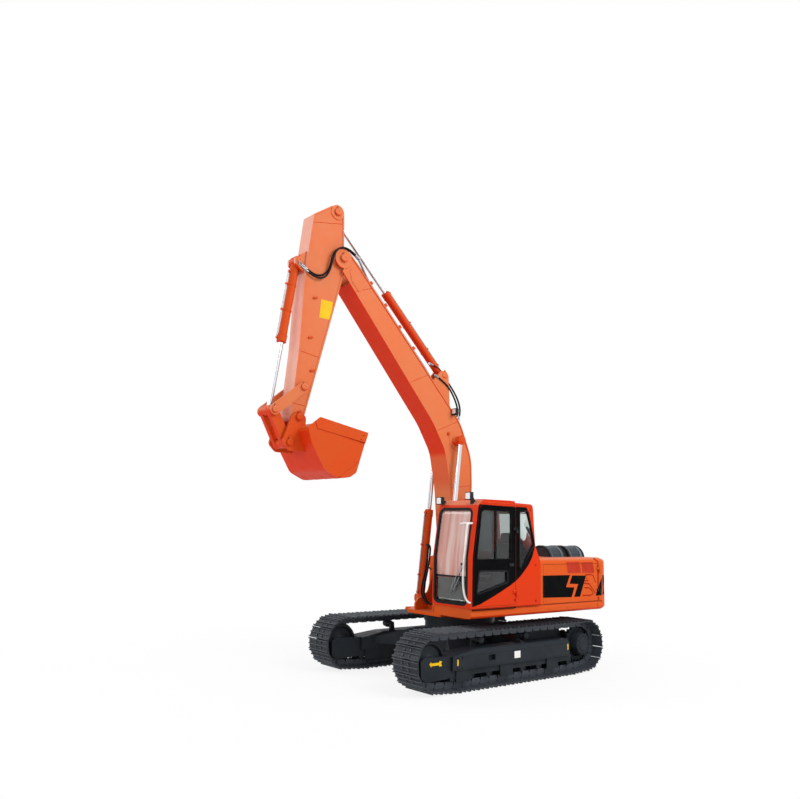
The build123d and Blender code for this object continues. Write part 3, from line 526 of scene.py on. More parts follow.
def roundedCorners(corners, steps=5):
    # corners are (a, b) or (a, b, radius); each radius becomes a short arc
    rounded = []
    count = len(corners)
    for index, corner in enumerate(corners):
        here = Vector(corner[:2])
        radius = corner[2] if len(corner) > 2 else 0.0
        if radius == 0.0:
            rounded.append(here)
            continue
        before = (Vector(corners[index - 1][:2]) - here).normalized()
        after = (Vector(corners[(index + 1) % count][:2]) - here).normalized()
        half = before.angle(after) / 2
        middle = here + (before + after).normalized() * (radius / math.sin(half))
        start = here + before * (radius / math.tan(half)) - middle
        end = here + after * (radius / math.tan(half)) - middle
        turn = start.angle_signed(end)
        for step in range(steps + 1):
            share = -turn * step / steps
            rounded.append(middle + Matrix.Rotation(share, 2) @ start)
    return rounded


def sidePlate(name, corners, yFrom, yTo, steps=5, ease=0.0, segments=2):
    # an outline in side view, (x, z) from the swing axis, between two distances to the left
    flat = roundedCorners(corners, steps)
    piece = pulledPlate(name, [at(p.x, yFrom, p.y) for p in flat], (0, yTo - yFrom, 0))
    if ease:
        easeEdges(piece, ease, segments)
    return piece


def block(name, low, high, ease=0.0, segments=2):
    clearSelection()
    low, high = Vector(low), Vector(high)
    bpy.ops.mesh.primitive_cube_add(size=1.0, location=(0, 0, 0))
    piece = bpy.context.object
    piece.name = name
    size = high - low
    middle = at(*((low + high) / 2))
    for vertex in piece.data.vertices:
        vertex.co = middle + Vector((vertex.co.x * size.x, vertex.co.y * size.y, vertex.co.z * size.z))
    if ease:
        easeEdges(piece, ease, segments)
    return piece


def turnedPiece(name, start, axis, profile, steps=32, hollow=False):
    # profile rows are (distance along the axis, radius); a hollow ring's stay clear of the axis
    axis = Vector(axis).normalized()
    out = axis.orthogonal().normalized()
    rows = list(profile)
    if not hollow and rows[0][1] > 0:
        rows.insert(0, (rows[0][0], 0.0))
    if not hollow and rows[-1][1] > 0:
        rows.append((rows[-1][0], 0.0))
    piece = fillOutline(name, [Vector(start) + axis * along + out * radius for along, radius in rows])
    editMode()
    bpy.ops.mesh.delete(type="ONLY_FACE")
    bpy.ops.mesh.select_all(action="SELECT")
    bpy.ops.mesh.spin(steps=steps, angle=2 * math.pi, center=tuple(start), axis=tuple(axis))
    bpy.ops.mesh.select_all(action="SELECT")
    bpy.ops.mesh.remove_doubles(threshold=0.00005)
    bpy.ops.mesh.dissolve_degenerate(threshold=0.00005)
    bpy.ops.mesh.delete_loose()
    bpy.ops.mesh.select_all(action="SELECT")
    bpy.ops.mesh.normals_make_consistent(inside=False)
    objectMode()
    smoothOver(piece)
    return piece


def bentPipe(name, points, radius, sides=8):
    # a hose or pipe on one smooth curve
    clearSelection()
    bpy.ops.curve.primitive_nurbs_path_add(location=(0, 0, 0))
    curve = bpy.context.object
    curve.name = name
    curve.data.splines.clear()
    spline = curve.data.splines.new("NURBS")
    spline.points.add(len(points) - 1)
    for knot, point in zip(spline.points, points):
        knot.co = (*point, 1.0)
    spline.order_u = 3
    spline.use_endpoint_u = True
    spline.resolution_u = 6
    curve.data.bevel_depth = radius
    curve.data.bevel_resolution = max(1, sides // 4)
    curve.data.use_fill_caps = True
    curve.data.dimensions = "3D"
    makeActive(curve)
    bpy.ops.object.convert(target="MESH")
    piece = bpy.context.object
    smoothOver(piece, 50.0)
    return piece


def joinAll(pieces, name):
    clearSelection()
    for piece in pieces:
        piece.select_set(True)
    bpy.context.view_layer.objects.active = pieces[0]
    if len(pieces) > 1:
        bpy.ops.object.join()
    joined = bpy.context.object
    joined.name = name
    return joined


def copyThrough(piece, places):
    # a copy with its own mesh at each place, and the first piece given up
    copies = []
    for place in places:
        twin = piece.copy()
        twin.data = piece.data.copy()
        twin.data.transform(place)
        bpy.context.scene.collection.objects.link(twin)
        copies.append(twin)
    bpy.data.objects.remove(piece)
    return copies


def cutAway(piece, cutters, operation="DIFFERENCE"):
    for cutter in cutters:
        makeActive(piece)
        knife = piece.modifiers.new("cut", "BOOLEAN")
        knife.object = cutter
        knife.operation = operation
        knife.solver = "EXACT"
        bpy.ops.object.modifier_apply(modifier=knife.name)
        bpy.data.objects.remove(cutter)


def coat(piece, material):
    piece.data.materials.clear()
    piece.data.materials.append(material)
    return piece


def seat(piece, body, slot, material=None, replaced=()):
    if material is not None:
        coat(piece, material)
    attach(piece, body)
    if replaced:
        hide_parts(*replaced)
    return piece


def paintFaces(piece, material, test):
    # a second paint on the faces whose middles pass the test
    piece.data.materials.append(material)
    index = len(piece.data.materials) - 1
    for face in piece.data.polygons:
        if test(face.center, face.normal):
            face.material_index = index


def mergedCopy(node, name):
    # a copy of a CAD part with its loose triangles merged, left in edit mode for the next step
    piece = frame["nodes"][node].copy()
    piece.data = piece.data.copy()
    piece.name = name
    bpy.context.scene.collection.objects.link(piece)
    piece.parent = None
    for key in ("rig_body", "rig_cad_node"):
        del piece[key]
    makeActive(piece)
    editMode()
    bpy.ops.mesh.remove_doubles(threshold=0.00002)
    return piece


def dressedCopy(node, width):
    # a copy of a CAD part with its edges eased
    piece = mergedCopy(node, node + "Dressed")
    bpy.ops.mesh.dissolve_limited(angle_limit=math.radians(0.6))
    objectMode()
    easeEdges(piece, width)
    return piece


# painted steel carried over from the CAD with eased edges
dressing = {
    # node: (body, slot, material, edge width)
    "main_frame": ("house", "orange_paint", orangeEnamel, 0.006),
    "counterweight": ("house", "orange_paint", orangeEnamel, 0.012),
    "left_housing": ("house", "orange_paint", orangeEnamel, 0.006),
    "right_housing": ("house", "orange_paint", orangeEnamel, 0.006),
    "fuel_tank": ("house", "orange_paint", orangeEnamel, 0.012),
    "top_cover": ("house", "orange_paint", orangeEnamel, 0.006),
    "engine_hood": ("hood", "orange_paint", orangeEnamel, 0.006),
    "left_door": ("left_door", "orange_paint", orangeEnamel, 0.004),
    "right_door": ("right_door", "orange_paint", orangeEnamel, 0.004),
    "cab_shell": ("house", "orange_paint", cabEnamel, 0.008),
    "cab_door": ("cab_door", "orange_paint", cabEnamel, 0.004),
    "boom": ("boom", "orange_paint", boomEnamel, 0.006),
    "arm": ("arm", "orange_paint", armEnamel, 0.006),
    "bucket": ("bucket", "orange_paint", bucketEnamel, 0.005),
    "arm_links": ("arm_links", "orange_paint", boomEnamel, 0.006),
    "h_link": ("h_link", "orange_paint", bucketEnamel, 0.006),
    "boom_barrel": ("boom_barrels", "orange_paint", bucketEnamel, 0.004),
    "arm_barrel": ("arm_barrel", "orange_paint", bucketEnamel, 0.004),
    "bucket_barrel": ("bucket_barrel", "orange_paint", bucketEnamel, 0.004),
    "carbody": ("undercarriage", "dark_paint", charcoalEnamel, 0.006),
    "slewing_ring": ("undercarriage", "dark_paint", charcoalEnamel, 0.004),
    "track_frame_left": ("undercarriage", "dark_paint", charcoalEnamel, 0.006),
    "track_frame_right": ("undercarriage", "dark_paint", charcoalEnamel, 0.006),
    "sprocket_left": ("undercarriage", "dark_paint", charcoalEnamel, 0.004),
    "sprocket_right": ("undercarriage", "dark_paint", charcoalEnamel, 0.004),
    "engine_block": ("house", "dark_paint", charcoalEnamel, 0.01),
    "exhaust": ("house", "dark_paint", charcoalEnamel, 0.004),
    "cab_lamps": ("house", "black_plastic", cabPlastic, 0.006),
    "boom_lamp": ("boom", "black_plastic", cabPlastic, 0.006),
    "consoles": ("house", "black_plastic", consolePlastic, 0.02),
    "boom_rod": ("boom_rods", "chrome", chrome, 0.004),
    "arm_rod": ("arm_rod", "chrome", chrome, 0.004),
    "bucket_rod": ("bucket_rod", "chrome", chrome, 0.004),
}
dressed = {}
for node, (body, slot, material, width) in dressing.items():
    dressed[node] = seat(dressedCopy(node, width), body, slot, material, (node,))

for node, material in {
    "cab_glass": glass,
    "door_glass": doorPane,
    "idler_left": charcoalEnamel,
    "idler_right": charcoalEnamel,
    "rollers_left": charcoalEnamel,
    "rollers_right": charcoalEnamel,
    "track_left": trackSteel,
    "track_right": trackSteel,
    "hood_covers": meshSheet,
    "seat": seatCloth,
}.items():
    coat(frame["nodes"][node], material)
print("CAD parts dressed")

# painted eyes at the rods' heads: (x, z) of their pins
rodHeads = {"boom_rod": (0.336, 4.100), "arm_rod": (3.100, 7.780), "bucket_rod": (4.140, 4.255)}
for node, (headX, headZ) in rodHeads.items():
    paintFaces(
        dressed[node],
        bucketEnamel,
        lambda middle, normal, x=headX + swingAxis, z=headZ: math.hypot(middle.x - x, middle.z - z) < 0.10,
    )

# hinges, the door's gap and the openings of the panes are painted black where they stand on black
blackened = {
    "hingeFace": 1.3812,  # outside the cab's skin
    "hingeFoot": 2.0,  # the lowest hinge stays orange
    "reveal": (1.32, -0.53, 1.0, 1.19, 2.93),  # inner y, then x and z from and to
    "doorFoot": (1.64, 0.93),  # below this height only the front edge is black
    "doorHinge": (1.3565, 1.6),  # outside the side doors, up to this height
}


def isReveal(middle, normal):
    innerY, rear, front, low, high = blackened["reveal"]
    footHeight, footFront = blackened["doorFoot"]
    x = middle.x - swingAxis
    inBox = innerY < middle.y < blackened["hingeFace"] and rear < x < front and low < middle.z < high
    return inBox and abs(normal.y) < 0.97 and (middle.z > footHeight or x > footFront)


def isCabHinge(middle, normal):
    return middle.y > blackened["hingeFace"] and middle.z > blackened["hingeFoot"]


def isDoorHinge(middle, normal):
    return middle.y > blackened["doorHinge"][0] and middle.z < blackened["doorHinge"][1]


for node, tests in {
    "cab_shell": (isCabHinge, isReveal),
    "cab_door": (isCabHinge, isReveal),
    "left_housing": (isDoorHinge,),
    "left_door": (isDoorHinge,),
}.items():
    for test in tests:
        paintFaces(dressed[node], blackEnamel, test)

# undercarriage

trackLoop = {
    "gauge": 2.390,
    "shoeWidth": 0.600,
    "shoeCount": 50,
    "loopRadius": 0.420,
    "axleHeight": 0.475,
    "idlerX": 1.830,
    "sprocketX": -1.810,
    "rollerReach": 1.420,
    "rollerHeight": 0.220,
    "rollerLoop": 0.194,
    "railMiddle": 0.075,
}
loopStops = [
    (trackLoop["idlerX"], trackLoop["axleHeight"], trackLoop["loopRadius"]),
    (trackLoop["sprocketX"], trackLoop["axleHeight"], trackLoop["loopRadius"]),
    (-trackLoop["rollerReach"], trackLoop["rollerHeight"], trackLoop["rollerLoop"]),
    (trackLoop["rollerReach"], trackLoop["rollerHeight"], trackLoop["rollerLoop"]),
]


def loopPieces():
    # straight runs and arcs of the loop in turn, each with its length
    outwards = []
    runs = []
    for index, (x, z, radius) in enumerate(loopStops):
        nextX, nextZ, nextRadius = loopStops[(index + 1) % len(loopStops)]
        length = math.hypot(nextX - x, nextZ - z)
        way = math.atan2(nextZ - z, nextX - x)
        drop = radius - nextRadius
        outward = way - math.pi / 2 + math.atan2(drop, math.sqrt(length**2 - drop**2))
        out = Vector((math.cos(outward), math.sin(outward)))
        runs.append((Vector((x, z)) + out * radius, Vector((nextX, nextZ)) + out * nextRadius))
        outwards.append(outward)
    made = []
    for index, (start, end) in enumerate(runs):
        made.append(("run", start, end, outwards[index], (end - start).length))
        x, z, radius = loopStops[(index + 1) % len(loopStops)]
        turn = (outwards[(index + 1) % len(runs)] - outwards[index]) % (2 * math.pi)
        made.append(("arc", Vector((x, z)), radius, outwards[index], turn * radius))
    return made


def loopPlace(distance):
    for kind, first, second, outward, length in loopPieces():
        if distance <= length:
            if kind == "run":
                return first.lerp(second, distance / length), outward
            angle = outward + distance / second
            return first + Vector((math.cos(angle), math.sin(angle))) * second, angle
        distance -= length
    return loopPlace(distance)


pitch = sum(row[4] for row in loopPieces()) / trackLoop["shoeCount"]


def loopMatrix(distance, side):
    point, outward = loopPlace(distance)
    along = (-math.sin(outward), 0.0, math.cos(outward))
    out = (math.cos(outward), 0.0, math.sin(outward))
    turned = Matrix((along, (0.0, -1.0, 0.0), out)).transposed().to_4x4()
    return Matrix.Translation(at(point.x, side * trackLoop["gauge"] / 2, point.y)) @ turned


def hexBolts(name, places, axis, radius=0.016, height=0.012):
    # one bolt head with its washer, copied to each place
    axis = Vector(axis).normalized()
    clearSelection()
    bpy.ops.mesh.primitive_cylinder_add(
        vertices=12, radius=radius * 1.35, depth=height * 0.3, location=(0, 0, 0)
    )
    washer = bpy.context.object
    clearSelection()
    bpy.ops.mesh.primitive_cylinder_add(
        vertices=6, radius=radius, depth=height, location=(0, 0, height * 0.6)
    )
    bolt = joinAll([bpy.context.object, washer], name + "Head")
    applyPlace(bolt)
    turn = axis.to_track_quat("Z", "Y").to_matrix().to_4x4()
    return joinAll(copyThrough(bolt, [Matrix.Translation(place) @ turn for place in places]), name)


def applyPlace(piece):
    makeActive(piece)
    bpy.ops.object.transform_apply(location=True, rotation=True, scale=True)


shoeProfile = [
    # share of the pitch, height over the plate in metres
    (-0.478, -0.014),
    (-0.478, 0.006),
    (-0.465, 0.026),
    (-0.405, 0.026),
    (-0.355, 0.000),
    (-0.075, 0.000),
    (-0.035, 0.024),
    (0.035, 0.024),
    (0.075, 0.000),
    (0.355, 0.000),
    (0.405, 0.026),
    (0.455, 0.026),
    (0.475, 0.002),
    (0.475, -0.014),
]
linkOutline = [
    # share of the pitch, depth under the plate in metres
    (-0.56, -0.045),
    (-0.44, -0.0145),
    (0.44, -0.0145),
    (0.56, -0.045),
    (0.58, -0.082),
    (0.50, -0.110),
    (0.28, -0.1185),
    (-0.28, -0.1185),
    (-0.50, -0.110),
    (-0.58, -0.082),
]


def trackLink():
    # one shoe with its bolts, its pair of links and the bush between them, lying at the origin
    halfWidth = trackLoop["shoeWidth"] / 2
    shoe = pulledPlate(
        "shoePlate",
        [Vector((share * pitch, -halfWidth, height)) for share, height in shoeProfile],
        (0, 2 * halfWidth, 0),
    )
    easeEdges(shoe, 0.0035, 1, 25.0)
    parts = [shoe]
    for rail in (1, -1):
        for lean in (1, -1):
            # each rail is a chain of half links that step sideways at the pins
            middle = rail * trackLoop["railMiddle"] + lean * rail * 0.011
            rows = [
                Vector((share * pitch, middle - 0.011, depth))
                for share, depth in linkOutline
                if share * lean < 0.5
            ]
            parts.append(pulledPlate("link", rows, (0, 0.022, 0)))
    clearSelection()
    bpy.ops.mesh.primitive_cylinder_add(
        vertices=14,
        radius=0.027,
        depth=0.19,
        location=(0.5 * pitch, 0, -0.066),
        rotation=(math.radians(90), 0, 0),
    )
    bush = bpy.context.object
    applyPlace(bush)
    parts.append(bush)
    spots = [
        Vector((along * pitch, rail * trackLoop["railMiddle"], 0.003))
        for along in (-0.215, 0.215)
        for rail in (1, -1)
    ]
    parts.append(hexBolts("shoeBolts", spots, (0, 0, 1), 0.015, 0.011))
    return joinAll(parts, "trackLink")


for side, sideName in bothSides:
    places = [loopMatrix(pitch * (index + 0.5), side) for index in range(trackLoop["shoeCount"])]
    chain = joinAll(copyThrough(trackLink(), places), sideName + "TrackShoes")
    seat(chain, "undercarriage", "track_steel", trackSteel, ("track_" + sideName,))
print("tracks laid, pitch", round(pitch, 4))

wheelShapes = {
    # (distance along the axle, radius) from one face to the other
    "idler": [
        (-0.112, 0.072), (-0.108, 0.085), (-0.09, 0.092), (-0.066, 0.13), (-0.056, 0.235), (-0.092, 0.262),
        (-0.098, 0.292), (-0.092, 0.300), (-0.050, 0.300), (-0.044, 0.318), (0.044, 0.318), (0.050, 0.300),
        (0.092, 0.300), (0.098, 0.292), (0.092, 0.262), (0.056, 0.235), (0.066, 0.13), (0.09, 0.092),
        (0.108, 0.085), (0.112, 0.072),
    ],
    "roller": [
        (-0.100, 0.040), (-0.096, 0.070), (-0.048, 0.072), (-0.044, 0.090), (0.044, 0.090), (0.048, 0.072),
        (0.096, 0.070), (0.100, 0.040),
    ],
    "carrier": [
        (-0.100, 0.030), (-0.092, 0.046), (-0.086, 0.058), (-0.036, 0.058), (-0.028, 0.068), (0.028, 0.068),
        (0.036, 0.058), (0.086, 0.058), (0.092, 0.046), (0.100, 0.030),
    ],
}
underDark = ("undercarriage", "dark_paint", charcoalEnamel)
reach = trackLoop["rollerReach"]
rollerXs = [-reach + 2 * reach * index / 7 for index in range(8)]
carrierXs = (0.710, -0.380)
# under the loop's top by a shoe's plate, a link, the roller's radius and a gap
carrierHeight = trackLoop["axleHeight"] + trackLoop["loopRadius"] - 0.014 - 0.105 - 0.060 - 0.001
motorCoverProfile = [
    (0.0, 0.182), (0.006, 0.182), (0.012, 0.172), (0.012, 0.120), (0.022, 0.108), (0.026, 0.0)
]
frameStrips = [
    # lower and upper edge, front end, thickness: the folded cover strip and the joint of the end plates
    (0.530, 0.540, 1.28, 0.004),
    (0.322, 0.334, 1.42, 0.005),
]
innerGuards = [
    # over the frame towards the sprocket, and beside the rollers
    [(-0.55, 0.57), (-0.55, 0.80, 0.03), (-1.50, 0.80, 0.06), (-1.56, 0.57)],
    [(-1.30, 0.105, 0.03), (1.30, 0.105, 0.03), (1.30, 0.40), (-1.30, 0.40)],
]
yellowArrow = [
    (1.90, 0.455), (1.86, 0.485), (1.855, 0.465), (1.70, 0.465), (1.69, 0.49), (1.635, 0.475),
    (1.66, 0.445), (1.635, 0.415), (1.69, 0.40), (1.70, 0.425), (1.855, 0.425), (1.86, 0.405),
]
for side, sideName in bothSides:
    middle = side * trackLoop["gauge"] / 2
    outerFace = middle + side * 0.200
    axleY, axleZ = Vector((0, 1, 0)), trackLoop["axleHeight"]
    idlerPlace = at(trackLoop["idlerX"], middle, axleZ)
    idler = turnedPiece(sideName + "IdlerWheel", idlerPlace, axleY, wheelShapes["idler"], 48)
    seat(idler, *underDark, ("idler_" + sideName,))
    wheels = []
    for kind, height, places in (
        ("roller", trackLoop["rollerHeight"], rollerXs),
        ("carrier", carrierHeight, carrierXs),
    ):
        wheels += [turnedPiece(kind, at(x, middle, height), axleY, wheelShapes[kind], 24) for x in places]
    seat(joinAll(wheels, sideName + "Rollers"), *underDark, ("rollers_" + sideName,))
    # roller end collars, bolted up under the side frame
    collars = []
    for x in rollerXs:
        outline = [
            (x - 0.075, 0.226), (x + 0.075, 0.226), (x + 0.05, 0.17, 0.02), (x, 0.15, 0.03),
            (x - 0.05, 0.17, 0.02),
        ]
        for face in (1, -1):
            inner, outer = middle + face * 0.107, middle + face * 0.158
            collars.append(sidePlate("collar", outline, inner, outer, 3, 0.004))
    seat(joinAll(collars, sideName + "RollerCollars"), *underDark)
    sprocketX = trackLoop["sprocketX"]
    coverPlace = at(sprocketX, middle + side * 0.182, axleZ)
    cover = turnedPiece(sideName + "MotorCover", coverPlace, (0, side, 0), motorCoverProfile, 40)
    seat(cover, *underDark)
    # bolts of the collars, the frame's front end and the motor cover
    boltSpots = [at(x + step, middle + side * 0.160, 0.205) for x in rollerXs for step in (-0.045, 0.045)]
    boltSpots += [at(x, outerFace + side * 0.002, z) for x in (1.34, 1.24) for z in (0.35, 0.50)]
    for angle in [2 * math.pi * turn / 12 for turn in range(12)]:
        x, z = sprocketX + 0.148 * math.cos(angle), axleZ + 0.148 * math.sin(angle)
        boltSpots.append(at(x, middle + side * 0.195, z))
    seat(hexBolts(sideName + "FrameBolts", boltSpots, (0, side, 0), 0.013, 0.010), *underDark)
    strips = []
    for low, high, front, thickness in frameStrips:
        outline = [(-1.40, low), (front, low), (front, high), (-1.40, high)]
        strips.append(sidePlate("strip", outline, outerFace, outerFace + side * thickness))
    seat(joinAll(strips, sideName + "FrameSeams"), *underDark)
    guards = [
        sidePlate("guard", outline, side * 1.060, side * 1.068, ease=0.002, segments=1)
        for outline in innerGuards
    ]
    seat(joinAll(guards, sideName + "InnerGuards"), *underDark)
    stickers = []
    for x, z in ((1.33, 0.39), (-1.37, 0.42)):
        outline = [(x, z), (x + 0.028, z), (x + 0.028, z + 0.10), (x, z + 0.10)]
        stickers.append(sidePlate("mark", outline, outerFace, outerFace + side * 0.001))
    arrowFace = middle + side * 0.1525
    stickers.append(sidePlate("arrow", yellowArrow, arrowFace, arrowFace + side * 0.001))
    seat(joinAll(stickers, sideName + "YellowMarks"), "undercarriage", "dark_paint", yellowFilm)
    outline = [(-0.10, 0.395), (0.045, 0.395), (0.045, 0.505), (-0.10, 0.505)]
    blankPlate = sidePlate(sideName + "BlankPlate", outline, outerFace, outerFace + side * 0.002)
    seat(blankPlate, "undercarriage", "dark_paint", whiteFilm)

ringBolts = []
for angle in [2 * math.pi * index / 32 for index in range(32)]:
    ringBolts.append(at(0.600 * math.cos(angle), 0.600 * math.sin(angle), 0.972))
seat(hexBolts("slewRingBolts", ringBolts, (0, 0, 1), 0.014, 0.012), *underDark)
print("undercarriage dressed")

# revolving house

houseFaces = {
    "side": 1.355,  # the doors' outer faces, left and right of the middle
    "top": 2.020,
    "doorFront": -0.756,
    "doorRear": -2.354,
}


def clipOutline(corners, low, high):
    # the part of an outline whose first coordinate lies between two values
    for limit, keepAbove in ((low, True), (high, False)):
        kept = []
        for index, here in enumerate(corners):
            before = corners[index - 1]
            hereIn = here[0] >= limit if keepAbove else here[0] <= limit
            beforeIn = before[0] >= limit if keepAbove else before[0] <= limit
            if hereIn != beforeIn:
                share = (limit - before[0]) / (here[0] - before[0])
                kept.append((limit, before[1] + share * (here[1] - before[1])))
            if hereIn:
                kept.append(here)
        corners = kept
    return corners


def flatFilm(name, corners, side):
    # a film on the flat outer face of a side door or its pillar
    inner, outer = houseFaces["side"] - 0.0005, houseFaces["side"] + 0.0013
    return sidePlate(name, corners, side * inner, side * outer)


def film(name, corners, side, carrier, lift=0.0012):
    # a thin film laid on the carrier's side: cut into strips, dropped on the surface, then thickened
    piece = fillOutline(name, [at(x, side * 3.0, z) for x, z in corners])
    lowX, highX = min(row[0] for row in corners), max(row[0] for row in corners)
    lowZ, highZ = min(row[1] for row in corners), max(row[1] for row in corners)
    editMode()
    columns, bands = int((highX - lowX) / 0.03), int((highZ - lowZ) / 0.02)
    cuts = [((lowX + swingAxis + step * 0.03, 0, 0), (1, 0, 0)) for step in range(1, columns)]
    cuts += [((0, 0, lowZ + step * 0.02), (0, 0, 1)) for step in range(1, bands)]
    for point, normal in cuts:
        bpy.ops.mesh.select_all(action="SELECT")
        bpy.ops.mesh.bisect(plane_co=point, plane_no=normal)
    objectMode()
    for vertex in piece.data.vertices:
        start = Vector((vertex.co.x, side * 3.0, vertex.co.z))
        hit, place, normal, face = carrier.ray_cast(start, Vector((0, -side, 0)))
        vertex.co.y = place.y + side * lift if hit else side * houseFaces["side"]
    editMode()
    bpy.ops.mesh.extrude_region_move(TRANSFORM_OT_translate={"value": (0, -side * 2 * lift, 0)})
    bpy.ops.mesh.select_all(action="SELECT")
    bpy.ops.mesh.normals_make_consistent(inside=False)
    objectMode()
    smoothOver(piece)
    return piece


doorFront, doorRear = houseFaces["doorFront"], houseFaces["doorRear"]
blackStripes = [
    [(-0.732, 1.72), (-1.49, 1.715), (-1.375, 1.503), (-1.615, 1.490), (-1.53, 1.32), (-0.732, 1.34)],
    [(-1.555, 1.705), (-1.96, 1.695), (-1.775, 1.32), (-1.605, 1.32), (-1.725, 1.548), (-1.475, 1.560)],
    [(-2.46, 1.69), (-2.51, 1.69), (-2.57, 1.69), (-2.56, 1.56), (-2.41, 1.32), (-2.24, 1.32)],
    [(-2.55, 1.51), (-2.54, 1.33), (-2.46, 1.33)],
]
redSquares = [
    [(-1.39, 1.95), (-1.77, 1.95), (-1.82, 1.75), (-1.43, 1.75)],
    [(-1.82, 1.94), (-2.17, 1.94), (-2.22, 1.74), (-1.86, 1.745)],
]


def heightClip(corners, low, high):
    # the part of an outline between two heights
    return [(x, z) for z, x in clipOutline([(z, x) for x, z in corners], low, high)]


for side, sideName in bothSides:
    housing = dressed[sideName + "_housing"]
    # the right door is shorter, because the tank stands in front of it
    frontEnd = doorFront + (0.0 if side > 0 else -0.50)
    for filmName, outlines, material in (
        ("Stripes", blackStripes, blackFilm),
        ("Squares", redSquares, redFilm),
    ):
        films = {"Door": [], "Housing": [], "Tail": []}
        for outline in outlines:
            rows = clipOutline(outline, doorRear + 0.001, frontEnd - 0.001)
            if filmName == "Squares":
                # the squares' upper edge folds over onto the housing's shoulder
                rows = heightClip(rows, 1.70, 1.906)
                upper = clipOutline(heightClip(outline, 1.918, 1.99), -2.43, frontEnd)
                if len(upper) > 2:
                    films["Housing"].append(film("upperFilm", upper, side, housing))
            elif side > 0:
                front = clipOutline(outline, -0.749, -0.70)
                if len(front) > 2:
                    films["Housing"].append(film("frontFilm", front, side, housing))
            if len(rows) > 2:
                films["Door"].append(flatFilm("doorFilm", rows, side))
            if filmName == "Stripes":
                pillar = clipOutline(outline, -2.438, -2.362)
                if len(pillar) > 2:
                    films["Housing"].append(flatFilm("pillarFilm", pillar, side))
                tail = clipOutline(outline, -2.60, -2.442)
                if len(tail) > 2:
                    films["Tail"].append(film("tailFilm", tail, side, dressed["counterweight"]))
        for panel, parts in films.items():
            body = sideName + "_door" if panel == "Door" else "house"
            if parts:
                seat(joinAll(parts, sideName + panel + filmName), body, "orange_paint", material)
print("films laid")


def creaseBand(points, width):
    # a band of one width along a polyline in side view
    rows, back = [], []
    for index, point in enumerate(points):
        here = Vector(point)
        ahead = Vector(points[min(index + 1, len(points) - 1)])
        behind = Vector(points[max(index - 1, 0)])
        across = (ahead - behind).normalized().orthogonal() * width / 2
        rows.append(tuple(here + across))
        back.append(tuple(here - across))
    return rows + back[::-1]


# pressed creases of the cooler door and the seam in front of the counterweight, drawn as dark red films:
# painted shade in the creases and in the seam's gap
creases = [
    [(-1.94, 1.71), (-2.12, 1.71), (-2.18, 1.69), (-2.25, 1.56)],
    [(-1.89, 1.56), (-2.06, 1.54), (-2.14, 1.46), (-2.24, 1.36)],
    [(-1.91, 1.48), (-2.06, 1.465), (-2.12, 1.43), (-2.17, 1.355), (-2.07, 1.33), (-1.85, 1.34)],
    [(-1.96, 1.66), (-2.02, 1.60), (-1.90, 1.60)],
]
for side, sideName in bothSides:
    bands = [flatFilm("crease", creaseBand(line, 0.024), side) for line in creases]
    for high, low in ((1.90, 1.465), (1.300, 1.236)):
        bands.append(flatFilm("seam", creaseBand([(-2.325, high), (-2.325, low)], 0.040), side))
    seat(joinAll(bands, sideName + "DoorCreases"), sideName + "_door", "orange_paint", sealerAndShadeRed)
    overShoulder = [
        (-2.325, 1.918), (-2.323, 1.930), (-2.318, 1.943), (-2.309, 1.956), (-2.298, 1.968), (-2.283, 1.980),
        (-2.264, 1.992), (-2.24, 2.003),
    ]
    seat(
        film(sideName + "HousingSeam", creaseBand(overShoulder, 0.040), side, dressed[sideName + "_housing"]),
        "house",
        "orange_paint",
        sealerAndShadeRed,
    )
    deckSeam = film(
        sideName + "DeckSeam", creaseBand([(-2.31, 1.215), (-2.31, 1.09)], 0.014), side, dressed["main_frame"]
    )
    seat(deckSeam, "house", "orange_paint", sealerAndShadeRed)

# flush latches of the two side doors
for side, sideName in bothSides:
    frontEnd = doorFront if side > 0 else doorFront - 0.50
    latch = sidePlate(
        sideName + "DoorLatch",
        [
            (frontEnd - 0.05, 1.27, 0.01), (frontEnd - 0.05, 1.31, 0.01), (frontEnd - 0.14, 1.31, 0.01),
            (frontEnd - 0.14, 1.27, 0.01),
        ],
        side * 1.3545,
        side * 1.360,
        ease=0.002,
    )
    seat(latch, sideName + "_door", "orange_paint", orangeEnamel)


# mesh domes over the cooler bay, each with two straps and a dark end ring of painted shade
domeShape = {
    "spans": ((-1.400, -1.850), (-1.955, -2.420)),
    "y": 0.730,
    "half": 0.250,
    "height": 0.210,
    "steps": 20,
}


def archBand(name, xFrom, xTo, grow, thickness):
    # a half-round band over the bay: an arch of the dome's circle, drawn along the machine
    half, height = domeShape["half"], domeShape["height"]
    radius = (half**2 + height**2) / (2 * height)
    centreZ = houseFaces["top"] + height - radius
    reach = math.asin(half / radius)
    outer, inner = [], []
    for step in range(domeShape["steps"] + 1):
        angle = -reach + 2 * reach * step / domeShape["steps"]
        for rows, size in ((outer, radius + grow), (inner, radius + grow - thickness)):
            z = max(centreZ + size * math.cos(angle), houseFaces["top"])
            rows.append(at(xFrom, domeShape["y"] + size * math.sin(angle), z))
    piece = pulledPlate(name, outer + inner[::-1], (xTo - xFrom, 0, 0))
    smoothOver(piece)
    return piece


domes, straps, rings = [], [], []
for front, rear in domeShape["spans"]:
    domes.append(archBand("dome", rear + 0.01, front - 0.01, -0.010, 0.226))
    for x, width in ((front - 0.075, 0.018), (rear + 0.075, 0.045)):
        straps.append(archBand("strap", x, x + width, -0.002, 0.012))
    rings.append(archBand("ring", front - 0.022, front - 0.001, -0.001, 0.03))
    rings.append(archBand("ring", rear + 0.001, rear + 0.022, -0.001, 0.03))
seat(joinAll(domes, "domeMesh"), "house", "dark_paint", meshSheet, ("hood_covers",))
seat(joinAll(straps, "domeStraps"), "house", "dark_paint", steelStrap)
seat(joinAll(rings, "domeRings"), "house", "dark_paint", blackEnamel)

